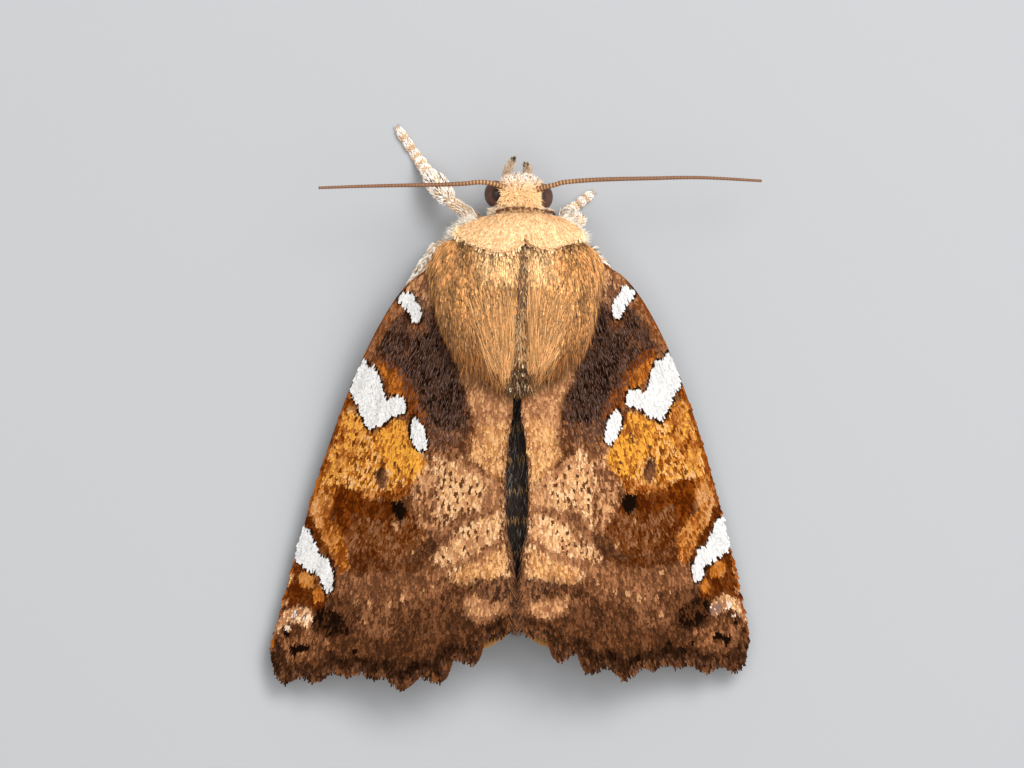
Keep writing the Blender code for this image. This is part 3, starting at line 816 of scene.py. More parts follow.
PATCHES = (
    Patch("outer field", ((262, 596), (330, 596), (400, 600), (440, 604), (520, 612), (520, 720),
        (262, 720)), (BARK, COCOA, SEPIA, WALNUT), 0.5),
    Patch("outer haze", ((352, 606), (392, 602), (420, 606), (424, 616), (396, 634), (360, 634),
        (350, 620)), (COCOA, SEPIA, HAZEL, TAUPE), 0.25),
    Patch("purple shade", ((398, 612), (430, 606), (440, 612), (424, 628), (404, 634), (392, 630)),
        (BARK, COCOA, SEPIA, WALNUT), 0.22),
    Patch("terminal brown", ((290, 652), (345, 640), (420, 640), (480, 628), (486, 640),
        (440, 664), (345, 662), (300, 664)), (BARK, COCOA, COCOA, WALNUT), 0.3),
    Patch("middle field", ((345, 515), (425, 505), (436, 535), (425, 556), (400, 562), (380, 562),
        (350, 556), (346, 535)), (OXBLOOD, RUSSET, RUSSET, TAUPE), 0.3),
    Patch("middle dusk", ((348, 556), (380, 562), (404, 560), (424, 552), (430, 560), (410, 572),
        (380, 574), (346, 572)), (OXBLOOD, COCOA, RUSSET, WALNUT), 0.25),
    Patch("middle glow", ((340, 574), (380, 574), (410, 572), (430, 562), (446, 570), (442, 590),
        (420, 600), (380, 602), (345, 600), (336, 590)), (SEPIA, WALNUT, HAZEL, TAN), 0.3),
    Patch("basal dark", ((420, 262), (432, 280), (440, 300), (446, 340), (456, 356), (462, 372),
        (466, 390), (472, 405), (472, 428), (458, 446), (436, 450), (426, 440), (424, 420),
        (412, 404), (404, 388), (388, 366), (372, 350), (386, 320), (400, 308)), (COFFEE, BARK,
        SMOKE, WALNUT), 0.2),
    Patch("basal core", ((425, 326), (438, 326), (448, 356), (460, 384), (466, 404), (460, 430),
        (440, 436), (428, 414), (420, 384), (410, 360)), (SOOT, COFFEE, BARK, SMOKE), 0.3),
    Patch("basal brown", ((408, 272), (420, 262), (432, 276), (438, 300), (424, 312), (418, 298),
        (412, 292), (402, 290), (394, 294)), (HAZEL, TAUPE, FAWN, SAND), 0.25),
    Patch("basal fade", ((430, 424), (448, 430), (468, 424), (474, 436), (466, 452), (448, 456),
        (426, 456), (420, 450), (428, 444)), (COCOA, SEPIA, HAZEL, TAN), 0.25),
    Patch("basal warm", ((376, 352), (392, 360), (408, 378), (420, 396), (430, 420), (426, 426),
        (410, 408), (396, 380), (380, 366)), (MAHOGANY, MAHOGANY, RUSSET, GINGER), 0.22),
    Patch("red costa", ((398, 296), (406, 306), (396, 318), (384, 334), (376, 352), (362, 358),
        (368, 342), (380, 320), (390, 304)), (RUSSET, HAZEL, TAUPE, TAN), 0.2),
    Patch("rust fleck", ((408, 322), (424, 322), (428, 330), (418, 337), (409, 334)), (COCOA,
        SEPIA, WALNUT, TAUPE), 0.12),
    Patch("rim flame", ((376, 362), (388, 366), (398, 376), (406, 388), (406, 396), (394, 396),
        (388, 392), (384, 380)), (RUSSET, GINGER, AMBER, ORANGE), 0.14),
    Patch("rim rust", ((406, 392), (414, 394), (420, 404), (424, 418), (418, 420), (409, 416),
        (407, 404)), (OXBLOOD, MAHOGANY, RUSSET, GINGER), 0.12),
    Patch("dorsal tan", ((458, 360), (474, 362), (490, 368), (506, 380), (518, 392), (514, 410),
        (510, 436), (494, 440), (478, 436), (474, 420), (472, 404), (464, 386)), (TAUPE, TAN, FAWN,
        SAND), 0.22),
    Patch("dorsal light", ((480, 428), (498, 420), (510, 426), (507, 450), (505, 482), (492, 478),
        (480, 468), (468, 456), (474, 442)), (TAN, HONEY, SAND, STRAW), 0.25),
    Patch("orange field", ((346, 404), (360, 416), (364, 428), (372, 432), (382, 428), (396, 418),
        (404, 420), (410, 440), (420, 452), (428, 462), (426, 480), (408, 492), (388, 498),
        (362, 496), (338, 490), (308, 492), (318, 456), (332, 424)), (RUST, ORANGE, YELLOW, STRAW),
        0.14, 0.3, RUSSET),
    Patch("costal rust", ((346, 390), (354, 402), (346, 412), (334, 440), (326, 470), (316, 500),
        (308, 514), (312, 526), (296, 530), (304, 490), (318, 450), (334, 415)), (MAHOGANY, RUST,
        GINGER, AMBER), 0.1),
    Patch("costal gold", ((344, 412), (354, 414), (362, 430), (360, 448), (348, 464), (336, 480),
        (324, 484), (330, 460), (338, 436)), (GINGER, ORANGE, HONEY, YELLOW), 0.12, 0.4, MAHOGANY),
    Patch("yellow core", ((374, 432), (390, 420), (402, 420), (408, 436), (418, 450), (424, 462),
        (418, 476), (402, 480), (388, 468), (376, 452)), (GINGER, ORANGE, YELLOW, YELLOW),
        0.12, 0.2),
    Patch("dorsal pale", ((432, 458), (456, 456), (468, 464), (480, 474), (500, 486), (507, 500),
        (508, 584), (486, 584), (462, 584), (446, 572), (432, 560), (428, 530), (424, 500),
        (422, 478)), (HAZEL, FAWN, SAND, CREAM), 0.3, 0.65),
    Patch("pale skirt", ((408, 486), (430, 470), (440, 500), (440, 530), (428, 540), (416, 524),
        (412, 506)), (WALNUT, TAN, FAWN, SAND), 0.25, 0.6),
    Patch("inner tawny", ((484, 487), (498, 486), (506, 488), (506, 512), (494, 514), (478, 512),
        (474, 502)), (TAUPE, TAN, FAWN, SAND), 0.28),
    Patch("cream bloom", ((444, 468), (462, 464), (476, 474), (484, 484), (482, 500), (472, 510),
        (458, 518), (442, 514), (438, 496)), (FAWN, SAND, STRAW, CREAM), 0.3, 0.75),
    Patch("dusky streak", ((500, 510), (480, 508), (462, 512), (450, 520), (436, 532), (424, 542),
        (426, 556), (440, 550), (448, 540), (462, 526), (480, 518)), (SEPIA, HAZEL, TAUPE, TAN),
        0.18),
    Patch("cream bar", ((470, 524), (486, 518), (500, 513), (503, 532), (494, 541), (484, 548),
        (474, 557), (462, 560), (450, 566), (446, 556), (456, 540), (462, 532)), (FAWN, SAND,
        STRAW, CREAM), 0.22, 0.45),
    Patch("cream hem", ((454, 572), (464, 564), (480, 560), (490, 550), (504, 548), (506, 570),
        (498, 580), (480, 580), (466, 584), (456, 582)), (TAN, HONEY, SAND, STRAW), 0.24),
    Patch("first line", ((456, 458), (468, 464), (478, 470), (486, 477), (494, 481), (504, 484),
        (504, 488), (492, 486), (482, 480), (472, 473), (462, 466), (454, 462)), (TAUPE, TAN, FAWN,
        SAND), 0.05),
    Patch("rust band", ((328, 486), (346, 486), (360, 492), (380, 500), (394, 498), (394, 512),
        (384, 520), (366, 516), (354, 514), (350, 528), (344, 544), (336, 530), (332, 508)),
        (OXBLOOD, OXBLOOD, MAHOGANY, RUST), 0.14),
    Patch("tawny patch", ((312, 498), (322, 484), (334, 488), (333, 502), (330, 518), (340, 528),
        (349, 545), (350, 568), (341, 574), (334, 560), (322, 542), (314, 524), (309, 510)), (RUST,
        GINGER, ORANGE, HONEY), 0.12),
    Patch("tawny light", ((313, 500), (322, 490), (332, 500), (328, 514), (322, 524), (318, 534),
        (314, 522), (311, 510)), (GINGER, ORANGE, HONEY, SAND), 0.1),
    Patch("orange bridge", ((358, 487), (384, 490), (402, 486), (410, 484), (408, 494), (400, 500),
        (380, 500), (362, 496)), (MAHOGANY, GINGER, AMBER, HONEY), 0.12),
    Patch("line shade", ((404, 568), (398, 560), (410, 554), (424, 542), (432, 534), (438, 545),
        (424, 560)), (BARK, COCOA, SEPIA, WALNUT), 0.12),
    Patch("second line", ((508, 538), (500, 546), (490, 551), (480, 559), (464, 564), (450, 570),
        (436, 580), (432, 574), (446, 564), (460, 558), (476, 552), (486, 546), (496, 538)),
        (HAZEL, TAUPE, TAN, FAWN), 0.08),
    Patch("dark band", ((452, 584), (472, 584), (486, 578), (508, 580), (506, 600), (494, 600),
        (482, 594), (462, 596), (452, 604), (444, 612), (430, 614), (418, 622), (410, 618),
        (430, 604), (440, 596)), (BARK, COCOA, SEPIA, HAZEL), 0.12),
    Patch("grey corner", ((478, 580), (498, 576), (510, 580), (510, 604), (492, 602), (482, 594)),
        (BARK, SMOKE, WALNUT, TAUPE), 0.25),
    Patch("buff corner", ((462, 602), (466, 597), (476, 594), (482, 598), (492, 602), (504, 600),
        (502, 612), (492, 618), (474, 618), (464, 614)), (TAUPE, TAN, FAWN, SAND), 0.24),
    Patch("kidney spot", ((390, 500), (404, 500), (409, 508), (405, 518), (401, 521), (396, 516),
        (390, 510)), (SOOT, SOOT, SOOT, SOOT), 0.08),
    Patch("kidney stain", ((358, 502), (376, 500), (392, 502), (392, 514), (380, 516), (362, 512)),
        (OXBLOOD, OXBLOOD, MAHOGANY, RUSSET), 0.14),
    Patch("grey spot", ((376, 468), (384, 466), (388, 474), (388, 486), (380, 488), (374, 480)),
        (BARK, SEPIA, WALNUT, HAZEL), 0.1),
    Patch("maroon edge", ((306, 514), (313, 518), (318, 534), (326, 546), (332, 556), (336, 572),
        (332, 576), (329, 560), (318, 548), (312, 536), (308, 528), (302, 526)), (OXBLOOD, OXBLOOD,
        MAHOGANY, RUSSET), 0.06),
    Patch("costal maroon", ((291, 562), (302, 566), (314, 574), (322, 590), (328, 600), (320, 612),
        (306, 606), (290, 608), (274, 614), (282, 590)), (OXBLOOD, OXBLOOD, MAHOGANY, RUSSET),
        0.08),
    Patch("ochre spot front", ((299, 574), (306, 571), (314, 577), (314, 586), (304, 588),
        (298, 584)), (AMBER, ORANGE, HONEY, HONEY), 0.07),
    Patch("ochre spot back", ((314, 590), (320, 588), (325, 596), (322, 602), (315, 602)), (GINGER,
        AMBER, ORANGE, ORANGE), 0.06),
    Patch("apical cream", ((271, 632), (276, 618), (286, 610), (300, 606), (310, 611), (314, 618),
        (308, 628), (299, 622), (290, 622), (282, 626), (278, 634)), (TAN, FAWN, SAND, CREAM), 0.1),
    Patch("apical tawny", ((278, 638), (290, 632), (310, 630), (330, 640), (326, 656), (300, 662),
        (280, 658)), (COCOA, WALNUT, HAZEL, TAN), 0.2),
    Patch("dark blotch", ((315, 610), (326, 606), (340, 610), (350, 620), (348, 634), (330, 637),
        (318, 630), (312, 622)), (SOOT, SOOT, COFFEE, COCOA), 0.12),
    Patch("shade streak", ((328, 598), (352, 600), (358, 614), (352, 630), (344, 612), (330, 606)),
        (BARK, COCOA, SEPIA, WALNUT), 0.25),
    Patch("apical white front", ((300, 621), (304, 612), (310, 614), (314, 618), (313, 622),
        (310, 628), (306, 626), (305, 621), (302, 621)), (DASH, TAN, CREAM, IVORY), 0.06),
    Patch("apical white back", ((290, 617), (292, 612), (297, 612), (298, 618), (293, 620)), (DASH,
        CREAM, IVORY, IVORY), 0.06),
    Patch("apical white dot", ((285, 627), (288, 625), (292, 626), (290, 630), (286, 630)), (SAND,
        CREAM, CREAM, IVORY), 0.05),
    Patch("costal cream", ((286, 586), (287, 578), (291, 575), (293, 577), (290, 584)), (ORANGE,
        HONEY, STRAW, STRAW), 0.04),
    Patch("costal fleck", ((279, 607), (282, 600), (288, 599), (288, 604), (285, 608)), (TAUPE,
        FAWN, SAND, CREAM), 0.06),
)

WHITE_MARKS = (
    ("basal white", ((398, 298), (402, 293), (409, 291), (412, 292), (415, 298), (419, 303),
        (421, 308), (422, 315), (420, 323), (413, 323), (412, 318), (409, 312), (405, 307),
        (400, 302))),
    ("costal white", ((350, 391), (354, 378), (358, 368), (363, 359), (366, 362), (369, 366),
        (374, 366), (378, 371), (381, 380), (383, 388), (384, 394), (388, 401), (391, 397),
        (397, 395), (402, 397), (406, 401), (406, 412), (399, 414), (390, 417), (386, 422),
        (382, 425), (376, 426), (371, 430), (367, 426), (364, 419), (359, 411), (358, 404),
        (353, 397))),
    ("oval white", ((413, 418), (415, 416), (419, 421), (423, 425), (426, 431), (427, 439),
        (428, 446), (425, 450), (420, 450), (415, 445), (410, 433), (411, 425))),
    ("outer white", ((304, 527), (310, 531), (313, 540), (317, 549), (320, 557), (325, 557),
        (329, 560), (331, 571), (334, 573), (332, 590), (326, 593), (322, 584), (321, 577),
        (314, 573), (304, 568), (299, 563), (291, 559), (295, 545), (300, 530))),
)
BLACK_MARKS = (
    ("apical dash", ((290, 647), (296, 647), (301, 644), (308, 645), (310, 650), (303, 651),
        (297, 653), (295, 659), (293, 654), (290, 652))),
    ("apical dot", ((284, 632), (287, 631), (289, 636), (285, 637))),
    ("margin dot", ((331, 649), (334, 648), (332, 654), (330, 654))),
    ("far dot", ((352, 650), (359, 649), (360, 652), (353, 653))),
)
PALE_DOTS = ((357, 602), (370, 604), (383, 602), (389, 603), (402, 598), (414, 596), (423, 592),
             (414, 550), (396, 525), (366, 621), (367, 579), (433, 586))


@dataclass
class WingPattern:
    """The forewing's markings, worked out for any place on the left wing."""

    margin: Array
    costa: Array
    seed: int

    def colours(self, flat: Array) -> Array:
        """Mix the colour at each place, patch after patch.

        Args:
            flat: Places on the left wing.

        Returns:
            A colour for each place.
        """
        draw = np.random.default_rng(self.seed)
        noise = Noise(self.seed + 40)
        ragged = noise.at(flat, 0.22) + 0.5 * noise.at(flat, 0.09) - 0.75
        chance = draw.random(len(flat))
        order = self._order(flat, noise, draw)
        colours = self._toned(order, (COCOA, WALNUT, TAUPE))
        for number, patch in enumerate(PATCHES):
            shift = noise.at(flat + 17.3 * number, 0.5) - 0.5
            depth = depth_inside(flat, from_photo(patch.outline))
            depth += (0.03 + 0.6 * patch.soft) * (ragged + shift)
            chosen = ramp(-patch.soft, patch.soft, depth)
            share = np.clip(1.6 * chosen - 0.6 * chance, 0, 1)[:, None]
            fresh = self._toned(order, patch.tones)
            if patch.dots:
                fresh = np.where(self._dotted(flat, patch.dots, noise)[:, None], patch.fleck,
                                 fresh)
            colours = mixed(colours, fresh, share)
        colours = self._margin(flat, colours, order, noise, draw)
        for _, outline in WHITE_MARKS:
            depth = depth_inside(flat, from_photo(outline)) + 0.018 * ragged
            rim = (depth > -0.07) & (depth < 0) & (draw.random(len(flat)) < 0.85)
            colours = np.where(rim[:, None], COFFEE, colours)
            white = np.array(WHITE) * (0.93 + 0.07 * draw.random((len(flat), 1)))
            colours = np.where((depth > 0)[:, None], white, colours)
        for _, outline in BLACK_MARKS:
            depth = depth_inside(flat, from_photo(outline)) + 0.04 * ragged
            colours = np.where((depth > 0)[:, None], SOOT, colours)
        for spot in from_photo(PALE_DOTS):
            near = np.linalg.norm((flat - spot) * [1, 0.7], axis=1) + 0.08 * ragged < 0.08
            colours = mixed(colours, SAND, (0.75 * (near & (chance < 0.7)))[:, None])
        streak = noise.at(flat * [1.0, 0.2] + 5.1, 0.075) - 0.5
        vary = 1 + 0.16 * streak + 0.16 * (draw.random(len(flat)) - 0.5)
        return colours * vary[:, None]

    def _order(self, flat: Array, noise: Noise, draw: np.random.Generator) -> Array:
        """Rank the places from dark to light, in small clumps drawn out along the wing.

        Args:
            flat: Places on the left wing.
            noise: Noise that gathers the clumps.
            draw: Source of random numbers.

        Returns:
            A rank from 0 to 1 for each place, spread evenly.
        """
        stretch = flat * np.array([1.0, 0.6])
        level = (0.38 * noise.at(stretch + 31.7, 0.1) + 0.24 * noise.at(stretch + 3.1, 0.34)
                 + 0.38 * draw.random(len(flat)))
        order = np.empty(len(flat))
        order[np.argsort(level)] = (np.arange(len(flat)) + 0.5) / len(flat)
        return order

    def _toned(self, order: Array, tones: tuple[Colour, ...]) -> Array:
        """Read a patch's tones by rank, shading evenly from each to the next.

        Args:
            order: Rank of each place.
            tones: Colours from dark to light.

        Returns:
            A colour for each place.
        """
        knots = (np.arange(len(tones)) + 0.5) / len(tones)
        return np.stack([np.interp(order, knots, part) for part in np.array(tones).T], 1)

    def _dotted(self, flat: Array, share: float, noise: Noise) -> Array:
        """Choose the places that lie on small dark specks, about one to each lattice square.

        Args:
            flat: Places on the left wing.
            share: How many squares have a speck.
            noise: Noise whose lattice shifts the specks.

        Returns:
            Whether each place lies on a speck.
        """
        pitch = np.array([0.235, 0.28])
        square = np.floor(flat / pitch).astype(int)
        i, j = square[:, 0] % 256, square[:, 1] % 256
        jitter = np.stack([noise.table[i, j], noise.table[j, i]], 1) - 0.5
        offset = (flat - (square + 0.5 + 0.6 * jitter) * pitch) / [0.055, 0.095]
        return (np.linalg.norm(offset, axis=1) < 1) & (noise.table[i - 91, j - 37] < share)

    def _margin(self, flat: Array, colours: Array, order: Array, noise: Noise,
                draw: np.random.Generator) -> Array:
        """Darken the line inside the scalloped margin and warm the costal edge.

        Args:
            flat: Places on the left wing.
            colours: Colours so far.
            order: Rank of each place from dark to light.
            noise: Noise that breaks the line up.
            draw: Source of random numbers.

        Returns:
            The new colours.
        """
        away = distance_to(flat, self.margin[::3]) + 0.15 * (noise.at(flat, 0.35) - 0.5)
        heavy = ramp(1.6, 3.0, flat[:, 0]) * ramp(8.0, 6.4, flat[:, 0])
        line = np.exp(-((away - 0.4) / (0.11 + 0.13 * heavy)) ** 2) * (0.7 + 0.3 * heavy)
        share = np.clip(1.3 * line - 0.3 * draw.random(len(flat)), 0, 1)[:, None]
        colours = mixed(colours, self._toned(order, (SOOT, COFFEE, COFFEE, BARK)), share)
        fringe = ((away < 0.24) & (draw.random(len(flat)) < 0.92))[:, None]
        colours = np.where(fringe, self._toned(order, FRINGE_TONES), colours)
        warm = (distance_to(flat, self.costa[::4]) < 0.1) & (draw.random(len(flat)) < 0.7)
        return np.where(warm[:, None], self._toned(order, (RUST, GINGER, AMBER)), colours)


FORE_MARGIN = ((9.11, 9.2), (8.93, 9.95), (8.56, 10.2), (8.0, 9.98), (7.44, 10.17), (6.78, 9.8),
               (6.22, 9.95), (5.85, 9.8), (5.25, 10.05), (4.98, 9.92), (4.22, 10.43),
               (3.56, 9.94), (2.78, 10.15), (2.41, 9.28), (1.52, 9.45), (1.28, 8.6),
               (0.5, 8.42), (0.16, 8.15))
FORE_INNER = ((0.16, -0.45), (0.16, 0.2), (0.33, 1.3), (0.44, 3.0), (0.38, 4.5), (0.16, 5.5),
              (0.12, 7.0), (0.16, 8.15))
FORE_ROOT = ((0.16, -0.45), (1.3, -1.0), (2.0, -2.0), (2.35, -3.4), (2.4, -4.6), (2.95, -5.35))
FORE_VEINS = (
    ((3.1, -4.4), (4.8, -2.4), (6.2, 0.3), (7.0, 1.8)),
    ((2.9, -4.2), (4.2, -2.0), (5.2, 0.5), (5.9, 3.0)),
    ((2.8, -3.8), (3.25, -1.6), (3.7, 0.9), (4.3, 3.6)),
    ((5.9, 3.0), (7.2, 4.7), (8.05, 5.4)), ((6.8, 5.1), (8.0, 7.5), (8.75, 8.6)),
    ((5.9, 3.0), (6.8, 5.1), (7.9, 8.0), (8.4, 9.9)), ((5.9, 3.0), (6.6, 5.8), (7.3, 9.8)),
    ((4.7, 3.3), (5.5, 5.9), (6.2, 9.6)), ((4.3, 3.6), (4.7, 6.1), (5.2, 9.7)),
    ((4.3, 3.6), (4.25, 6.5), (4.2, 10.1)), ((3.85, 1.5), (3.5, 5.2), (2.8, 9.8)),
    ((2.6, -3.4), (2.05, -0.2), (1.5, 4.2), (1.55, 9.1)),
)


def patch_grid(front: Array, back: Array, inner: Array, outer: Array) -> Array:
    """Fill four boundary curves with a grid, by the sum of the two rulings less the corners.

    Args:
        front: Places along the front edge.
        back: Places along the back edge, as many as the front's.
        inner: Places along the inner edge.
        outer: Places along the outer edge, as many as the inner's.

    Returns:
        Rows from front to back by columns from inner to outer, in plan.
    """
    s = np.linspace(0, 1, len(front))[None, :, None]
    t = np.linspace(0, 1, len(inner))[:, None, None]
    ruled = (1 - s) * inner[:, None] + s * outer[:, None]
    crossed = (1 - t) * front[None] + t * back[None]
    corners = ((1 - s) * (1 - t) * inner[0] + s * (1 - t) * outer[0]
               + (1 - s) * t * inner[-1] + s * t * outer[-1])
    return ruled + crossed - corners


@dataclass
class Forewing:
    """One forewing: a thin scalloped membrane, its scales and its fringes."""

    side: Side
    rows: int = 200
    columns: int = 130
    thickness: float = 0.09
    vein_height: float = 0.045
    vein_half_width: float = 0.16
    scale_step: tuple[float, float] = (0.0335, 0.12)
    shown_at: float = 0.14

    def edges(self) -> tuple[Array, Array, Array, Array]:
        """Run the wing's four edges in plan.

        Returns:
            Its front, back, inner and outer edges.
        """
        y = (Roof.costa_front_y + 0.1
             + (9.2 - Roof.costa_front_y - 0.1) * np.linspace(0, 1, 300) ** 1.4)
        costa = np.stack([ROOF.costa_x(y) - 0.75 * np.exp(-(y - y[0]) / 0.22), y], 1)
        costa[0] = FORE_ROOT[-1]
        margin = smooth_path(FORE_MARGIN[::-1], self.columns)
        return (smooth_path(FORE_ROOT, self.columns), margin, smooth_path(FORE_INNER, self.rows),
                resample(costa, self.rows))

    def height(self, flat: Array) -> Array:
        """Height of the upper face with its veins, each a bell-shaped ridge.

        Args:
            flat: Places on the left wing.

        Returns:
            Heights in millimetres.
        """
        places = flat.reshape(-1, 2)
        near = np.full(len(places), np.inf)
        for vein in FORE_VEINS:
            near = np.minimum(near, distance_to(places, smooth_path(vein, 12)))
        ridge = self.vein_height * np.exp(-(near / self.vein_half_width) ** 2)
        return (ROOF.height(places) + ridge).reshape(flat.shape[:-1]) - 0.03

    def lie(self, flat: Array) -> Array:
        """Direction in plan that scales lie in, fanning out towards the costa."""
        return unit(np.stack([flat[:, 0] * 0.05 * (1 - flat[:, 1] / 26), np.ones(len(flat))], 1))

    def lifted(self, flat: Array) -> tuple[Array, Array]:
        """Raise places of the left wing onto this side's surface.

        Args:
            flat: Places on the left wing.

        Returns:
            Places in space and the surface's normals there.
        """
        step = 0.02
        spots = [np.concatenate([self.side.place(part), self.height(part)[:, None]], 1)
                 for part in (flat, flat + [step, 0], flat + [0, step])]
        normal = unit(np.cross(spots[1] - spots[0], spots[2] - spots[0]))
        return spots[0], normal * np.sign(normal[:, 2:3])

    def headings(self, flat: Array, ahead: Array) -> Array:
        """Turn directions in plan into directions along the surface.

        Args:
            flat: Places on the left wing.
            ahead: Directions in plan.

        Returns:
            Unit directions in space.
        """
        step = 0.02
        spots = [np.concatenate([self.side.place(part), self.height(part)[:, None]], 1)
                 for part in (flat, flat + ahead * step)]
        return unit(spots[1] - spots[0])

    def build(self, maker: Maker) -> None:
        """Make the membrane, the scales and the fringe.

        Args:
            maker: Maker of pieces.
        """
        front, back, inner, outer = self.edges()
        grid = patch_grid(front, back, inner, outer)
        flat = grid.reshape(-1, 2)
        pattern = WingPattern(back, outer, self.side.seed)
        top = np.concatenate([self.side.place(grid), self.height(grid)[..., None]], -1)
        under = top - [0, 0, self.thickness]
        upper = pattern.colours(flat)
        # Painted shade: the membrane under the scales takes the pattern at 0.6 of its value, so the
        # gaps between scales show dark; under near-white marks it stays almost as light.
        upper = upper * (0.6 + 0.35 * ramp(0.45, 0.6, upper.min(1)))[:, None]
        shade = Noise(5).at(flat, 0.8)[:, None]
        lower = np.array(paint(150, 112, 72)) * (0.7 + 0.5 * shade)
        maker.piece("forewing_membrane_" + self.side.tag, grid_shell(top, under),
                    np.vstack([upper, lower]), MEMBRANE,
                    ("forewing_" + self.side.tag,))
        outline = np.vstack([front[:-1:2], outer[:-1:3], back[::-1][:-1], inner[::-1][:-1:3]])
        maker.coat("forewing_scales_" + self.side.tag, self.scales(outline, pattern), WING_SCALES,
                   Slot.FOREWING)
        maker.coat("forewing_fringe_" + self.side.tag, self.fringe(back, inner),
                   WING_SCALES, Slot.FOREWING)

    def scales(self, outline: Array, pattern: WingPattern) -> Coat:
        """Lay the small scales that carry the wing's colours.

        Args:
            outline: The wing's outline in plan.
            pattern: Its markings.

        Returns:
            A coat of scales.
        """
        draw = np.random.default_rng(self.side.seed)
        xs = np.arange(0, 9.4, self.scale_step[0])
        ys = np.arange(-5.6, 10.6, self.scale_step[1])
        flat = np.stack(np.meshgrid(xs, ys), -1).reshape(-1, 2)
        flat += draw.uniform(-0.5, 0.5, flat.shape) * self.scale_step * np.array([1.0, 0.6])
        flat = flat[depth_inside(flat, outline) > 0.045]
        roots, up = self.lifted(flat)
        turn = draw.normal(0, 0.16, len(flat))[:, None]
        lie = self.lie(flat)
        lie = unit(lie + turn * np.stack([lie[:, 1], -lie[:, 0]], 1))
        ahead = self.headings(flat, lie)
        count = len(flat)
        coat = Coat()
        coat.scales(roots, ahead, up, draw.uniform(0.17, 0.27, count),
                    draw.uniform(0.048, 0.085, count), draw.uniform(0.015, 0.05, count),
                    pattern.colours(flat + self.shown_at * lie), wing_unwrap(flat))
        self._dashes(coat, draw)
        return coat

    def _dashes(self, coat: Coat, draw: np.random.Generator) -> None:
        """Lay fine pale hairs over the dark base of the wing.

        Args:
            coat: The coat that takes them.
            draw: Source of random numbers.
        """
        flat = np.stack([draw.uniform(1.6, 6.0, 3600), draw.uniform(-5.0, 1.8, 3600)], 1)
        dark = next(patch for patch in PATCHES if patch.name == "basal dark")
        inside = depth_inside(flat, from_photo(dark.outline)) > 0.1
        inside &= depth_inside(flat, from_photo(WHITE_MARKS[0][1])) < -0.12
        flat = flat[inside & (flat[:, 0] < ROOF.costa_x(flat[:, 1]) - 0.45)]
        count = len(flat)
        lie = unit(self.lie(flat) + draw.normal(0, 0.1, flat.shape))
        roots, up = self.lifted(flat)
        tints = varied(draw, count, DASH, 0.2, 1.0)
        coat.hairs(roots, self.headings(flat, lie), up, draw.uniform(0.18, 0.34, count),
                   np.full(count, 0.03), draw.uniform(0.05, 0.09, count), tints,
                   wing_unwrap(flat))

    def fringe(self, back: Array, inner: Array) -> Coat:
        """Set the long scales that fringe the outer margin and the inner margin.

        Args:
            back: The scalloped margin.
            inner: The inner margin.

        Returns:
            A coat of long scales.
        """
        draw = np.random.default_rng(self.side.seed + 5)
        coat = Coat()
        rim = resample(back, 3600)
        inset = draw.uniform(0.12, 0.34, len(rim))
        rim = rim - unit(np.stack([rim[:, 0] * 0.05, np.ones(len(rim))], 1)) * inset[:, None]
        roots, up = self.lifted(rim)
        away = unit(np.stack([-np.gradient(back[:, 1]), np.gradient(back[:, 0])], 1))
        away = resample(away, len(rim))
        lie = unit(away * 0.5 + np.stack([rim[:, 0] * 0.03, np.ones(len(rim))], 1)
                   + draw.normal(0, 0.06, rim.shape))
        count = len(rim)
        streak = (Noise(self.side.seed + 7).at(rim, 0.12)[:, None] * 0.8
                  + draw.random((count, 1)) * 0.3)
        tints = np.array(COCOA) * (0.55 + 0.8 * streak)
        coat.scales(roots, self.headings(rim, lie), up, inset * draw.uniform(0.93, 1.02, count),
                    draw.uniform(0.05, 0.08, count), draw.uniform(0.0, 0.02, count), tints,
                    wing_unwrap(rim))
        edge = resample(inner, 1500)
        edge = edge[draw.random(len(edge)) < ramp(-1.5, 5.5, edge[:, 1]) * 0.9 + 0.1]
        edge = edge + np.stack([draw.uniform(0.02, 0.2, len(edge)), np.zeros(len(edge))], 1)
        roots, up = self.lifted(edge)
        count = len(edge)
        back_share = ramp(4.5, 7.5, edge[:, 1])
        lie = unit(np.stack([-0.25 - 0.55 * draw.random(count) * back_share, np.ones(count)], 1))
        pale = varied(draw, count, TAN, 0.5, 1.2)
        grey = varied(draw, count, SMOKE, 0.4, 1.5)
        tints = np.where((draw.random(count) < 0.45)[:, None], pale, grey)
        reach = draw.uniform(0.14, 0.3, count) + 0.22 * back_share
        coat.hairs(roots, self.headings(edge, lie), up, reach,
                   draw.uniform(0.02, 0.035, count), draw.uniform(-0.1, 0.1, count), tints,
                   wing_unwrap(edge))
        return coat


HIND_COSTA = ((2.6, -3.7), (3.5, -2.2), (4.75, 1.0), (5.8, 4.4), (6.25, 7.0))
HIND_MARGIN = ((0.35, 8.2), (0.9, 8.6), (1.6, 8.85), (2.3, 9.0), (3.1, 9.15), (3.9, 9.1),
               (4.7, 8.95), (5.3, 8.55), (5.95, 8.1), (6.25, 7.0))
HIND_INNER = ((2.1, -0.9), (1.9, 1.5), (1.5, 4.2), (0.75, 6.0), (0.3, 7.4), (0.35, 8.2))
HIND_ROOT = ((2.1, -0.9), (2.3, -2.4), (2.6, -3.7))
HIND_BELOW = 0.95


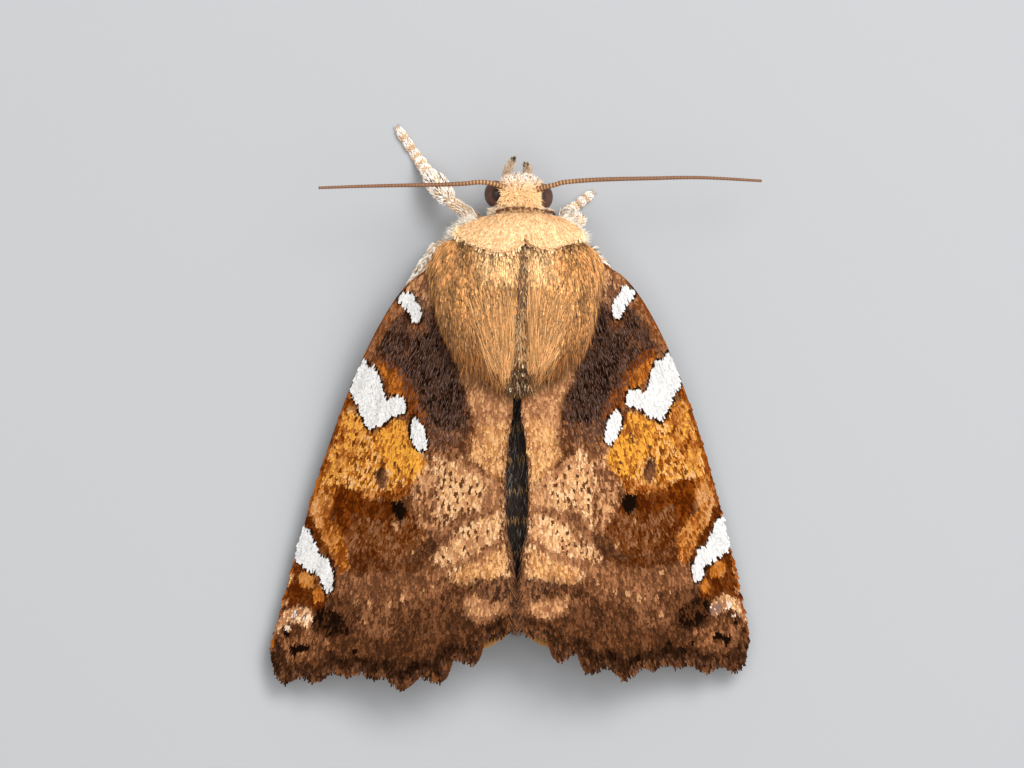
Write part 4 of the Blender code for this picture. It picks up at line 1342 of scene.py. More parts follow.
@dataclass
class Hindwing:
    """One hindwing, folded below the forewing, with a pale fringe."""

    side: Side
    rows: int = 90
    columns: int = 50

    def build(self, maker: Maker) -> None:
        """Make the membrane and its fringe.

        Args:
            maker: Maker of pieces.
        """
        draw = np.random.default_rng(self.side.seed + 20)
        back = smooth_path(HIND_MARGIN, self.columns)
        grid = patch_grid(smooth_path(HIND_ROOT, self.columns), back,
                          smooth_path(HIND_INNER, self.rows), smooth_path(HIND_COSTA, self.rows))
        ripple = 0.025 * np.cos(grid[..., 0] / (0.35 + 0.03 * grid[..., 1]) * 2)
        height = ROOF.height(grid) - HIND_BELOW + ripple
        top = np.concatenate([self.side.place(grid), height[..., None]], -1)
        flat = grid.reshape(-1, 2)
        dusk = ramp(4.5, 8.5, flat[:, 1])[:, None]
        shade = 0.75 + 0.5 * Noise(8).at(flat, 0.4)[:, None]
        tint = mixed(paint(196, 152, 98), paint(92, 72, 58), dusk) * shade
        name = "hindwing_membrane_" + self.side.tag
        maker.piece(name, grid_shell(top, top - [0, 0, 0.08]), np.vstack([tint, tint]), MEMBRANE,
                    ("hindwing_" + self.side.tag,))
        rim = resample(back, 1500)
        count = len(rim)
        placed = self.side.place(rim)
        roots = np.concatenate([placed, (ROOF.height(rim) - HIND_BELOW - 0.04)[:, None]], 1)
        ahead = unit(np.stack([self.side.sign * (rim[:, 0] - 3) * 0.12 + draw.normal(0, 0.1, count),
                               np.ones(count), np.full(count, -0.05)], 1))
        coat = Coat()
        tints = varied(draw, count, paint(206, 150, 86), 0.6, 1.1)
        coat.hairs(roots, ahead, upright(count), draw.uniform(0.15, 0.28, count),
                   np.full(count, 0.04), draw.uniform(-0.03, 0.03, count), tints,
                   wing_unwrap(rim))
        maker.coat("hindwing_fringe_" + self.side.tag, coat, FUR, Slot.HINDWING)


# Half-width, top and bottom of the body below its fur, from the brow to the tail.
BODY_STATIONS = np.array([
    (-8.52, 0.28, 2.95, 2.35), (-8.35, 0.6, 3.3, 2.05), (-8.0, 0.66, 3.42, 1.9),
    (-7.6, 0.72, 3.4, 1.88), (-7.25, 0.8, 3.3, 1.9), (-7.0, 1.0, 3.4, 1.6),
    (-6.5, 1.5, 3.8, 1.15), (-5.5, 1.92, 4.35, 0.85), (-4.2, 2.05, 4.5, 0.78),
    (-2.8, 1.85, 4.4, 0.85), (-1.8, 1.5, 4.0, 0.9), (-1.1, 1.25, 3.2, 0.7),
    (-0.5, 1.2, 2.5, 0.5), (0.5, 1.3, 2.34, 0.38), (2.0, 1.36, 2.32, 0.36),
    (4.0, 1.22, 2.2, 0.46), (6.0, 0.88, 1.95, 0.7), (7.0, 0.55, 1.75, 0.92),
    (7.7, 0.3, 1.6, 1.1), (8.0, 0.12, 1.5, 1.25)])


@dataclass
class Body:
    """One skin from the brow to the tail, with head fur, flank fur and abdomen fur."""

    rings: int = 170
    sides: int = 72
    power: float = 2.3
    ring_start: float = 0.6
    ring_step: float = 1.15
    groove: float = 0.035
    head_back: float = -7.15
    head_half: float = 0.75
    flank: tuple[float, float] = (-7.2, -0.6)
    abdomen_front: float = -0.8
    head_hairs: int = 90000
    flank_hairs: int = 27000
    abdomen_hairs: int = 21000
    crescent_hairs: int = 300
    cheek_hairs: int = 260
    fluff_hairs: int = 480

    def skin(self) -> Surface:
        """Loft the body through its stations, as superellipses.

        Returns:
            The closed skin.
        """
        y = np.linspace(BODY_STATIONS[0, 0], BODY_STATIONS[-1, 0], self.rings)
        curve = smooth_path(BODY_STATIONS, 400)
        order = np.argsort(curve[:, 0])
        half, top, low = (np.interp(y, curve[order, 0], curve[order, k]) for k in (1, 2, 3))
        angle = np.linspace(0, 2 * np.pi, self.sides, endpoint=False)
        c, s = np.cos(angle), np.sin(angle)
        power = 2 / self.power
        x = np.sign(c) * np.abs(c) ** power
        z = np.sign(s) * np.abs(s) ** power
        furrow = np.abs(np.cos(np.pi * (y - self.ring_start) / self.ring_step)) ** 8
        pinch = 1 - self.groove * ramp(0, 1, y) * furrow
        middle, tall = (top + low) / 2, (top - low) / 2
        rings = np.stack([half[:, None] * pinch[:, None] * x[None],
                          np.broadcast_to(y[:, None], (self.rings, self.sides)),
                          middle[:, None] + tall[:, None] * pinch[:, None] * z[None]], -1)
        return loft(rings)

    def build(self, maker: Maker) -> None:
        """Make the skin and its three coats.

        Args:
            maker: Maker of pieces.
        """
        skin = self.skin()
        y = skin.vertices[:, 1]
        head = ramp(-6.9, -7.3, y)[:, None]
        tail = ramp(-1.2, -0.4, y)[:, None]
        tint = mixed(paint(150, 108, 66), paint(196, 150, 104), head)
        tint = mixed(tint, paint(44, 40, 40), tail)
        maker.piece("body_skin", skin, tint, MEMBRANE,
                    ("thorax", "head", "abdomen", "anal_tuft", "scutellar_tuft"))
        maker.coat("head_fur", self.head_fur(skin), FUR, Slot.PALE)
        maker.coat("flank_fur", self.flank_fur(skin), FUR, Slot.PALE)
        maker.coat("abdomen_fur", self.abdomen_fur(skin), FUR, Slot.DARK)

    def head_fur(self, skin: Surface) -> Coat:
        """Ruffle short buff scales over the crown and the face.

        Args:
            skin: The body's skin.

        Returns:
            A coat of short hairs.
        """
        draw = np.random.default_rng(31)
        spots, up, flat = skin.scatter(self.head_hairs, draw)
        keep = (spots[:, 1] < self.head_back) & (np.abs(spots[:, 0]) < self.head_half)
        spots, up, flat = spots[keep], up[keep], flat[keep]
        count = len(spots)
        back = np.clip((spots[:, 1] + 8.45) / 1.2, 0, 1)
        spots[:, 0] = spots[:, 0] * 1.04 - 0.11
        lean = np.stack([spots[:, 0] * 0.5 + draw.normal(0, 0.3, count),
                         -0.35 + 1.15 * back + draw.normal(0, 0.3, count),
                         0.35 - 0.5 * (up[:, 2] < 0) + draw.normal(0, 0.2, count)], 1)
        ahead = laid(lean, up, 0.7)
        face = ramp(-8.0, -8.4, spots[:, 1])[:, None]
        length = draw.uniform(0.18, 0.38, count) * (1 - 0.45 * face[:, 0])
        base = varied(draw, count, mixed(paint(255, 214, 160), paint(255, 242, 226), face),
                      0.8, 1.2)
        brown = varied(draw, count, paint(168, 118, 76), 0.7, 1.1)
        speck = draw.random(count) < 0.05 + 0.1 * (spots[:, 1] < -8.2)
        tints = np.where(speck[:, None], brown, base)
        coat = Coat()
        coat.hairs(spots, ahead, up, length, draw.uniform(0.035, 0.055, count),
                   draw.uniform(0.04, 0.14, count) * (1 - 0.6 * face[:, 0]), tints, flat,
                   draw.normal(0, 0.04, count))
        self._crescent(coat, draw)
        self._brow(coat, draw)
        for sign in (-1, 1):
            self._cheek(coat, sign, draw)
            self._fluff(coat, sign, draw)
        return coat

    def _crescent(self, coat: Coat, draw: np.random.Generator) -> None:
        """Set a thin, broken dark line of scales between the head and the collar.

        Args:
            coat: The coat that takes them.
            draw: Source of random numbers.
        """
        count = self.crescent_hairs
        x = draw.uniform(-1.35, 0.74, 40)[draw.integers(0, 40, count)] + draw.normal(0, 0.03, count)
        y = -7.36 + 0.15 * (x + 0.2) ** 2 + draw.normal(0, 0.025, count)
        roots = np.stack([x, y, 3.78 - 0.25 * x ** 2 + draw.uniform(-0.06, 0.06, count)], 1)
        lean = unit(np.stack([x * 0.4 + draw.normal(0, 0.5, count), np.full(count, 0.6),
                              draw.uniform(0.1, 0.9, count)], 1))
        dark = varied(draw, count, paint(104, 64, 38), 0.4, 2.0)
        coat.hairs(roots, lean, np.tile([0, -0.5, 0.85], (count, 1)),
                   draw.uniform(0.07, 0.15, count), np.full(count, 0.05),
                   draw.uniform(0.0, 0.05, count), dark,
                   np.stack([0.25 + x * 0.1, np.full(count, 0.07)], 1))

    def _brow(self, coat: Coat, draw: np.random.Generator) -> None:
        """Let buff hairs hang over the inner part of each eye, further on the right.

        Args:
            coat: The coat that takes them.
            draw: Source of random numbers.
        """
        for sign, low, high, count in ((1, 0.42, 0.52, 120), (-1, 0.62, 0.82, 260)):
            x = sign * draw.uniform(low, high, count)
            y = draw.uniform(-8.25, -7.45, count)
            level = 3.3 - 0.5 * ((y + 7.86) / 0.5) ** 2 * 0.4
            lean = unit(np.stack([sign * draw.uniform(0.5, 1.0, count),
                                  draw.uniform(0.0, 0.9, count),
                                  draw.uniform(-0.35, 0.1, count)], 1))
            buff = varied(draw, count, paint(255, 216, 164), 0.75, 1.15)
            coat.hairs(np.stack([x, y, level], 1), lean, upright(count),
                       draw.uniform(0.1, 0.18, count), draw.uniform(0.035, 0.05, count),
                       draw.uniform(0.0, 0.05, count), buff,
                       np.stack([0.25 + x * 0.1, np.full(count, 0.05)], 1))

    def _cheek(self, coat: Coat, sign: int, draw: np.random.Generator) -> None:
        """Fill the hollow behind one eye with whitish hair that lies outwards.

        Args:
            coat: The coat that takes it.
            sign: Which side of the body it is on.
            draw: Source of random numbers.
        """
        count = self.cheek_hairs
        out = draw.random(count)
        roots = np.stack([sign * (0.5 + 0.55 * out) - 0.12,
                          -7.36 + 0.12 * out + draw.normal(0, 0.05, count),
                          3.2 - 0.35 * out + draw.uniform(-0.25, 0.1, count)], 1)
        lean = unit(np.stack([np.full(count, 0.8 * sign), 0.1 + 0.2 * out,
                              np.full(count, -0.05)], 1) + draw.normal(0, 0.22, (count, 3)))
        white = varied(draw, count, paint(244, 222, 192), 0.65, 1.05)
        coat.hairs(roots, lean, upright(count), draw.uniform(0.12, 0.3, count),
                   draw.uniform(0.028, 0.042, count), draw.uniform(0.0, 0.08, count), white,
                   np.stack([0.25 + sign * 0.12 * out, np.full(count, 0.09)], 1))

    def _fluff(self, coat: Coat, sign: int, draw: np.random.Generator) -> None:
        """Let soft whitish hair stand out beside the neck, below the collar.

        Args:
            coat: The coat that takes it.
            sign: Which side of the body it is on.
            draw: Source of random numbers.
        """
        count = self.fluff_hairs
        t = draw.uniform(0.3, 1.0, count)
        roots = np.stack([sign * (1.1 + 1.25 * t), -7.15 + 1.0 * t + draw.normal(0, 0.1, count),
                          3.0 - 0.5 * t + draw.uniform(-0.7, 0.2, count)], 1)
        lean = unit(np.stack([np.full(count, 0.9 * sign), -0.55 + 0.5 * t, np.full(count, -0.1)], 1)
                    + draw.normal(0, 0.34, (count, 3)))
        white = varied(draw, count, paint(252, 240, 222), 0.8, 1.1)
        coat.hairs(roots, lean, upright(count), draw.uniform(0.25, 0.6, count),
                   draw.uniform(0.025, 0.04, count), draw.uniform(-0.05, 0.1, count), white,
                   np.stack([0.25 + sign * 0.15 * t, np.full(count, 0.12)], 1),
                   draw.normal(0, 0.06, count))

    def flank_fur(self, skin: Surface) -> Coat:
        """Cover the thorax with soft fur, golden above and whitish at the neck and below.

        Args:
            skin: The body's skin.

        Returns:
            A coat of hairs.
        """
        draw = np.random.default_rng(32)
        spots, up, flat = skin.scatter(self.flank_hairs, draw)
        keep = (spots[:, 1] > self.flank[0]) & (spots[:, 1] < self.flank[1])
        spots, up, flat = spots[keep], up[keep], flat[keep]
        count = len(spots)
        lean = np.stack([spots[:, 0] * 0.12, np.ones(count), -0.25 * (up[:, 2] < 0.2)], 1)
        lean += draw.normal(0, 0.16, lean.shape)
        ahead = laid(lean, up)
        level = spots[:, 2] + 1.4 * ramp(-4.2, -2.6, spots[:, 1])
        low = ramp(3.4, 2.4, level)[:, None]
        gold = varied(draw, count, paint(204, 150, 88), 0.6, 1.1)
        white = varied(draw, count, paint(226, 212, 190), 0.7, 1.05)
        tints = mixed(gold, white, low)
        middle = np.exp(-((spots[:, 0] - 0.05) / 0.16) ** 2) * (up[:, 2] > 0.5)
        dark = draw.random(count) < middle * 0.75
        grey = varied(draw, count, paint(78, 62, 48), 0.5, 1.5)
        tints = np.where(dark[:, None], grey, tints)
        coat = Coat()
        coat.hairs(spots, ahead, up, draw.uniform(0.45, 0.8, count),
                   draw.uniform(0.04, 0.06, count), draw.uniform(0.08, 0.2, count), tints, flat,
                   draw.normal(0, 0.06, count))
        return coat

    def abdomen_fur(self, skin: Surface) -> Coat:
        """Cover the abdomen with dark fur banded by pale hind edges, and tuft its tip.

        Args:
            skin: The body's skin.

        Returns:
            A coat of hairs.
        """
        draw = np.random.default_rng(33)
        spots, up, flat = skin.scatter(self.abdomen_hairs, draw)
        keep = spots[:, 1] > self.abdomen_front
        spots, up, flat = spots[keep], up[keep], flat[keep]
        count = len(spots)
        lean = np.stack([spots[:, 0] * 0.05, np.ones(count), np.zeros(count)], 1)
        lean += draw.normal(0, 0.12, lean.shape)
        ahead = laid(lean, up)
        phase = (spots[:, 1] - self.ring_start) / self.ring_step
        band = np.abs(phase - np.round(phase)) < 0.12
        dark = varied(draw, count, paint(76, 60, 50), 0.3, 1.5)
        pale = varied(draw, count, paint(204, 154, 98), 0.5, 1.1)
        belly = (up[:, 2] < -0.1)[:, None]
        grey = (draw.random(count) < 0.14)[:, None]
        dark = np.where(grey, varied(draw, count, paint(168, 160, 148), 0.5, 1.0), dark)
        tints = np.where(belly, varied(draw, count, paint(170, 140, 108), 0.6, 1.1), dark)
        tints = np.where((band & (draw.random(count) < 0.6))[:, None], pale, tints)
        tail = ramp(6.2, 7.4, spots[:, 1])
        rufous = varied(draw, count, paint(86, 50, 34), 0.5, 1.3)
        tints = np.where((draw.random(count) < tail)[:, None], rufous, tints)
        length = draw.uniform(0.3, 0.5, count) + 0.25 * tail
        coat = Coat()
        coat.hairs(spots, ahead, up, length, draw.uniform(0.024, 0.04, count),
                   draw.uniform(0.02, 0.1, count), tints, flat, draw.normal(0, 0.07, count))
        return coat


@dataclass
class Plate:
    """A crowned plate over the body in plan, such as half of the collar."""

    outline: Array
    height: Callable[[Array], Array]
    drop: float
    rings: int = 16
    sides: int = 90
    edge_drop: float = 0.18

    def surface(self) -> Surface:
        """Close an upper and a lower face that shrink towards the plate's middle.

        Returns:
            The closed plate.
        """
        rim = resample(np.vstack([self.outline, self.outline[:1]]), self.sides + 1)[:-1]
        centre = rim.mean(0)
        share = np.linspace(0.04, 1, self.rings)[:, None, None]
        flat = centre + (rim - centre)[None] * share
        round_off = self.edge_drop * share[..., 0] ** 6
        tall = self.height(flat.reshape(-1, 2)).reshape(flat.shape[:2])
        top = np.concatenate([flat, (tall - round_off)[..., None]], -1)
        under = np.concatenate([flat, (tall - self.drop + round_off * 0.3)[..., None]], -1)
        return loft(np.concatenate([top, under[::-1]]))


def collar_height(flat: Array) -> Array:
    """Upper face of the collar, rising from the nape and drooping to its sides.

    Args:
        flat: Places in plan.

    Returns:
        Heights in millimetres.
    """
    x, y = np.abs(flat[:, 0]), flat[:, 1]
    rise = 3.86 + 0.9 * (y + 7.18) - 0.15 * x ** 2
    hollow = 0.07 * np.exp(-(x / 0.16) ** 2) * ramp(-6.6, -5.9, y)
    return np.minimum(rise, 5.05 - 0.15 * x ** 2) - hollow


def mantle_height(flat: Array) -> Array:
    """Upper face of the fur over the wing roots, a low dome.

    Args:
        flat: Places in plan.

    Returns:
        Heights in millimetres.
    """
    x, y = np.abs(flat[:, 0]), flat[:, 1]
    dome = 4.95 - 0.045 * x ** 2 - 0.0085 * x ** 4 - 0.045 * (y + 4.2) ** 2
    return (dome - 0.17 * np.exp(-((flat[:, 0] + 0.2) / 0.2) ** 2)
            - 0.3 * ramp(-5.3, -6.3, y))


def thorax_share(y: Array) -> Array:
    """How far back each place lies on the mantle, from 0 at its front to 1 at the tuft."""
    return np.clip((y + 6.2) / 4.6, 0, 1)


COLLAR_OUTLINE = ((521, 212), (508, 212), (494, 214), (482, 217), (471, 221), (460, 227),
                  (456, 231), (459, 238), (467, 245), (477, 249), (487, 252), (496, 254),
                  (505, 254), (513, 252), (520, 247), (523, 243), (525, 236), (527, 242),
                  (531, 247), (541, 251), (551, 251.5), (560, 248.5), (569, 246), (576, 242),
                  (581, 236), (580, 230), (573, 223), (560, 217), (549, 214), (535, 212))
COLLAR_HEM = ((457, 234), (466, 243), (477, 247), (487, 250), (502, 253), (514, 251), (522, 243),
              (525, 236), (528, 242), (536, 248), (551, 250), (562, 246), (572, 243), (581, 237))
MANTLE_HALVES = {
    "l": ((522, 246), (500, 244), (480, 242), (462, 239), (448, 241), (438, 250), (430, 264),
          (433, 282), (438, 300), (442, 318), (447, 334), (453, 348), (463, 357), (475, 359),
          (484, 357), (493, 363), (503, 371), (513, 377), (519, 360), (522, 300)),
    "r": ((526, 246), (545, 244), (565, 241), (580, 241), (592, 249), (601, 262), (599, 280),
          (595, 300), (593, 318), (588, 336), (581, 350), (570, 358), (558, 359), (549, 357),
          (540, 363), (531, 371), (523, 377), (522, 360), (525, 300)),
}


@dataclass
class Collar:
    """The pale collar: two lobes of short scales with a serrated back edge."""

    scales: int = 38000
    hem_scales: int = 640

    def build(self, maker: Maker) -> None:
        """Make the plate and its coat.

        Args:
            maker: Maker of pieces.
        """
        outline = from_photo(COLLAR_OUTLINE)
        centre = outline.mean(0)
        plate = Plate(centre + (outline - centre) * 0.96, collar_height, 0.35).surface()
        draw = np.random.default_rng(41)
        maker.piece("collar_plate", plate, paint(206, 160, 104), MEMBRANE,
                    ("collar_l", "collar_r"))
        spots, up, flat = plate.scatter(self.scales, draw)
        keep = up[:, 2] > -0.2
        spots, up, flat = spots[keep], up[keep], flat[keep]
        count = len(spots)
        lean = np.stack([spots[:, 0] * 0.1, np.ones(count), np.zeros(count)], 1)
        lean += draw.normal(0, 0.09, lean.shape)
        ahead = laid(lean, up, 0.9)
        length = draw.uniform(0.24, 0.4, count)
        ends = spots[:, :2] + ahead[:, :2] * length[:, None]
        inside = depth_inside(ends, outline) > draw.uniform(-0.02, 0.07, count)
        spots, up, flat, ahead, length = (part[inside]
                                          for part in (spots, up, flat, ahead, length))
        count = len(spots)
        grain = Noise(42).at(spots[:, :2], 0.3)[:, None]
        strand = Noise(43).at(spots[:, :2] * [1, 0.25], 0.07)[:, None]
        base = np.array(paint(246, 208, 158)) * (0.72 + 0.16 * grain + 0.3 * strand)
        dusky = np.array(paint(212, 160, 106))
        speck = draw.random(count) < 0.3
        tints = np.where(speck[:, None], dusky, base) * draw.uniform(0.76, 1.16, (count, 1))
        coat = Coat()
        coat.scales(spots, ahead, up, length, draw.uniform(0.034, 0.056, count),
                    draw.uniform(0.02, 0.09, count), tints, flat)
        self._hem(coat, draw)
        maker.coat("collar_scales", coat, FUR, Slot.PALE)

    def _hem(self, coat: Coat, draw: np.random.Generator) -> None:
        """Edge the collar behind with uneven pale scales.

        Args:
            coat: The coat that takes them.
            draw: Source of random numbers.
        """
        count = self.hem_scales
        hem = resample(from_photo(COLLAR_HEM), count)
        hem = hem + np.stack([draw.normal(0, 0.02, count), draw.uniform(-0.38, -0.26, count)], 1)
        level = collar_height(hem) - 0.06
        lean = unit(np.stack([hem[:, 0] * 0.14 + draw.normal(0, 0.12, count), np.ones(count),
                              np.full(count, -0.12)], 1))
        tints = varied(draw, count, paint(252, 212, 162), 0.7, 1.08)
        tooth = ramp(0.2, 0.8, 0.5 + 0.5 * np.sin(hem[:, 0] * 44 + 2.5 * np.sin(hem[:, 0] * 9)))
        coat.scales(np.column_stack([hem, level]), lean, upright(count),
                    0.17 + 0.27 * tooth + draw.uniform(0, 0.04, count),
                    draw.uniform(0.03, 0.055, count), draw.uniform(0.1, 0.2, count), tints,
                    hem / [6, 6] + 0.5)


@dataclass
class Mantle:
    """The golden fur over the wing roots and the thorax, in a left and a right half."""

    hairs: int = 21000
    strands: int = 720
    skirt_hairs: int = 3400
    tuft_hairs: int = 3400
    broad_scales: int = 26

    def build(self, maker: Maker) -> None:
        """Make both halves and the dark tuft behind them.

        Args:
            maker: Maker of pieces.
        """
        for side in SIDES:
            outline = from_photo(MANTLE_HALVES[side.tag])
            plate = Plate(outline, lambda flat: mantle_height(flat) - 0.12, 0.4,
                          edge_drop=0.25).surface()
            maker.piece("mantle_plate_" + side.tag, plate, paint(150, 104, 58), MEMBRANE,
                        ("tegula_" + side.tag,))
            maker.coat("mantle_fur_" + side.tag, self.fur(plate, side), FUR, Slot.BODY)
        maker.coat("scutellar_scales", self.tuft(), FUR, Slot.DARK)

    def fur(self, plate: Surface, side: Side) -> Coat:
        """Comb hairs backwards over one half, drawn in towards the midline behind.

        Args:
            plate: The plate below the fur.
            side: The side of the body.

        Returns:
            A coat of hairs.
        """
        draw = np.random.default_rng(side.seed + 50)
        spots, up, flat = plate.scatter(self.hairs, draw)
        keep = up[:, 2] > -0.35
        spots, up, flat = spots[keep], up[keep], flat[keep]
        count = len(spots)
        x, y = spots[:, 0], spots[:, 1]
        back = thorax_share(y)
        clumps = Noise(side.seed + 60).at(spots[:, :2] * [1, 0.35], 0.3) - 0.5
        lean = np.stack([-x * (0.03 + 0.13 * back) + 0.5 * clumps * 0.5, np.ones(count),
                         np.full(count, -0.03)], 1)
        lean += draw.normal(0, 0.11, lean.shape)
        ahead = laid(lean, up, 0.9)
        outer = ramp(2.0, 3.2, np.abs(x))
        pale = np.exp(-((np.abs(x) - 0.6) / 0.85) ** 4) * ramp(-4.3, -5.5, y)
        mix = np.clip(0.05 + 1.0 * back ** 2 + 0.12 * outer, 0, 1)[:, None]
        tints = mixed(paint(217, 156, 93), paint(130, 80, 41), mix)
        tints = mixed(tints, paint(255, 208, 148), pale[:, None])
        # Painted light: the outer front of each half is made up to a fifth lighter, to lift the
        # shade that falls there.
        tints *= 1 + 0.2 * outer[:, None] * (1 - back[:, None])
        strand = Noise(side.seed + 61).at(spots[:, :2] * [1, 0.2], 0.075) - 0.5
        tints = tints * (1.02 + 0.5 * clumps + 1.1 * strand)[:, None]
        tints = varied(draw, count, tints, 0.65, 1.3)
        middle = np.exp(-((x + 0.27 - 0.17 * back) / (0.11 + 0.08 * back)) ** 2)
        rim = ramp(2.7, 3.3, np.abs(x) + 0.13 * np.maximum(0, y + 5)) + ramp(0.8, 1.0, back)
        dark = draw.random(count) < np.clip(middle + rim * 0.28 + 0.03, 0, 1)
        brown = varied(draw, count, paint(118, 84, 60), 0.3, 1.4)
        tints = np.where(dark[:, None], brown, tints)
        ashen = draw.random(count) < np.exp(-((x - 0.2) / 0.13) ** 2) * ramp(-4.6, -3.4, y) * 0.4
        tints = np.where(ashen[:, None], paint(206, 172, 130), tints)
        # Painted shadow: the fur just behind the collar's hem is darkened by up to a half, as the
        # hem's shadow.
        near_hem = distance_to(spots[:, :2], from_photo(COLLAR_HEM))[:, None]
        tints = tints * (1 - 0.5 * np.exp(-(near_hem / 0.17) ** 2))
        length = draw.uniform(0.42, 0.75, count) + 0.18 * ramp(0.7, 1.0, back)
        tips = np.where(draw.random(count) < 0.45 - 0.3 * pale, 0.3, 1.0)
        coat = Coat()
        coat.hairs(spots, ahead, up, length, draw.uniform(0.03, 0.05, count),
                   draw.uniform(0.03, 0.16, count), tints, flat, draw.normal(0, 0.06, count), tips)
        chosen = np.flatnonzero(up[:, 2] > 0.6)[::5]
        coat.scales(spots[chosen] + up[chosen] * 0.09, ahead[chosen], up[chosen],
                    draw.uniform(0.26, 0.4, len(chosen)), draw.uniform(0.035, 0.055, len(chosen)),
                    draw.uniform(0.05, 0.12, len(chosen)), tints[chosen] * 1.1, flat[chosen],
                    np.where(draw.random(len(chosen)) < 0.75 - 0.5 * pale[chosen], 0.35, 1.0))
        self._strands(coat, side, draw)
        self._skirt(coat, side, draw)
        return coat

    def _strands(self, coat: Coat, side: Side, draw: np.random.Generator) -> None:
        """Sweep long loose hairs from the middle of one half down to the tuft.

        Args:
            coat: The coat that takes them.
            side: The side of the body.
            draw: Source of random numbers.
        """
        count = self.strands
        share = draw.random(count)
        spread = (2.1 - 0.9 * share) * draw.random(count) ** 1.4
        root = np.stack([side.sign * (0.26 + spread) - 0.16, -4.7 + 2.9 * share], 1)
        goal = np.array([side.sign * 0.36 - 0.08, -0.62]) + draw.normal(0, 0.2, (count, 2))
        run = goal - root
        reach = np.minimum(draw.uniform(0.9, 1.7, count), np.linalg.norm(run, axis=1))
        end = root + unit(run) * reach[:, None]
        start = np.column_stack([root, mantle_height(root) - 0.02])
        lean = np.column_stack([end, mantle_height(end) + 0.02]) - start
        tints = varied(draw, count, paint(218, 164, 106), 0.3, 1.4)
        coat.hairs(start, unit(lean), upright(count), reach,
                   draw.uniform(0.026, 0.042, count), draw.uniform(0.04, 0.12, count), tints,
                   root / [8, 8] + 0.5, side.sign * draw.uniform(-0.02, 0.16, count))

    def _skirt(self, coat: Coat, side: Side, draw: np.random.Generator) -> None:
        """Let long brown hairs fall over the back edge onto the wing.

        Args:
            coat: The coat that takes them.
            side: The side of the body.
            draw: Source of random numbers.
        """
        count = self.skirt_hairs
        outline = from_photo(MANTLE_HALVES[side.tag])
        rim = resample(outline[5:17], count)
        inset = draw.uniform(0.0, 0.55, count)
        root = rim + unit(outline.mean(0) - rim) * inset[:, None] + draw.normal(0, 0.04, rim.shape)
        x, y = root.T
        behind = ramp(-3.4, -2.0, y)
        level = mantle_height(root) - 0.1 - (0.25 - 0.17 * behind) * (1 - inset / 1.3) ** 6
        fall = (-0.2 - 0.3 * (1 - inset / 0.6)) * (1 - 0.75 * behind) + draw.normal(0, 0.06, count)
        lean = np.stack([-x * (0.02 + 0.12 * behind) + draw.normal(0, 0.15, count),
                         np.ones(count), fall], 1)
        gold = varied(draw, count, paint(184, 120, 64), 0.45, 1.2)
        brown = varied(draw, count, paint(112, 74, 42), 0.5, 1.3)
        tints = np.where((draw.random(count) < 0.5)[:, None], brown, gold)
        coat.hairs(np.column_stack([root, level]), unit(lean), upright(count),
                   draw.uniform(0.4, 0.8, count) + 0.34 * behind * (np.abs(x) < 1.9),
                   draw.uniform(0.03, 0.045, count),
                   draw.uniform(-0.04, 0.06, count), tints, root / [8, 8] + 0.5,
                   draw.normal(0, 0.07, count))

    def tuft(self) -> Coat:
        """Gather dark and pale spatulate scales where the thorax ends.

        Returns:
            A coat of broad scales.
        """
        draw = np.random.default_rng(71)
        count = self.tuft_hairs
        y = -0.72 - 5.2 * draw.random(count) ** 1.7
        x = draw.normal(0, 0.055 + 0.16 * ramp(-1.9, -1.1, y), count)
        z = 4.78 - 0.3 * x ** 2 - 0.3 * ramp(-2.4, -0.6, y) - 0.14 * draw.random(count)
        fore = ramp(-3.0, -4.2, y)
        middle = -0.27 + 0.17 * thorax_share(y)
        spots = np.stack([x + middle, y, z], 1)
        over = mantle_height(spots[:, :2]) + 0.07 - 0.08 * draw.random(count)
        spots[:, 2] += (over - z) * fore
        lean = np.stack([x * 0.3, np.ones(count), -0.12 + draw.uniform(-0.1, 0.25, count)], 1)
        ahead = unit(lean + draw.normal(0, 0.14, lean.shape))
        up = upright(count)
        shade = draw.random(count)
        dark = varied(draw, count, paint(84, 58, 38), 0.2, 1.6)
        pale = varied(draw, count, paint(214, 176, 130), 0.5, 1.1)
        front = ramp(-1.3, -2.2, y)
        dark += (np.array(paint(132, 102, 78)) - dark) * 0.4 * fore[:, None]
        tints = np.where((shade < 0.05 + 0.25 * front - 0.12 * fore)[:, None], pale, dark)
        tints = np.where((shade > 0.9 - 0.4 * front + 0.3 * fore)[:, None],
                         varied(draw, count, paint(190, 140, 88), 0.5, 1.1), tints)
        coat, few = Coat(), self.broad_scales
        flats = np.stack([0.5 + x * 0.2, 0.5 + (y + 2) * 0.1], 1)
        coat.hairs(spots, ahead, up, draw.uniform(0.22, 0.45, count),
                   draw.uniform(0.04, 0.07, count), draw.uniform(0.0, 0.12, count), tints, flats,
                   draw.normal(0, 0.05, count))
        broad = draw.choice(np.flatnonzero(y > -1.9), few, replace=False)
        cream = np.array(paint(224, 196, 156)) * draw.uniform(0.3, 0.85, (few, 1))
        coat.scales(spots[broad] + [0, 0, 0.1], ahead[broad], up[broad],
                    draw.uniform(0.14, 0.22, few), draw.uniform(0.05, 0.08, few),
                    draw.uniform(0.02, 0.08, few), cream, flats[broad])
        return coat


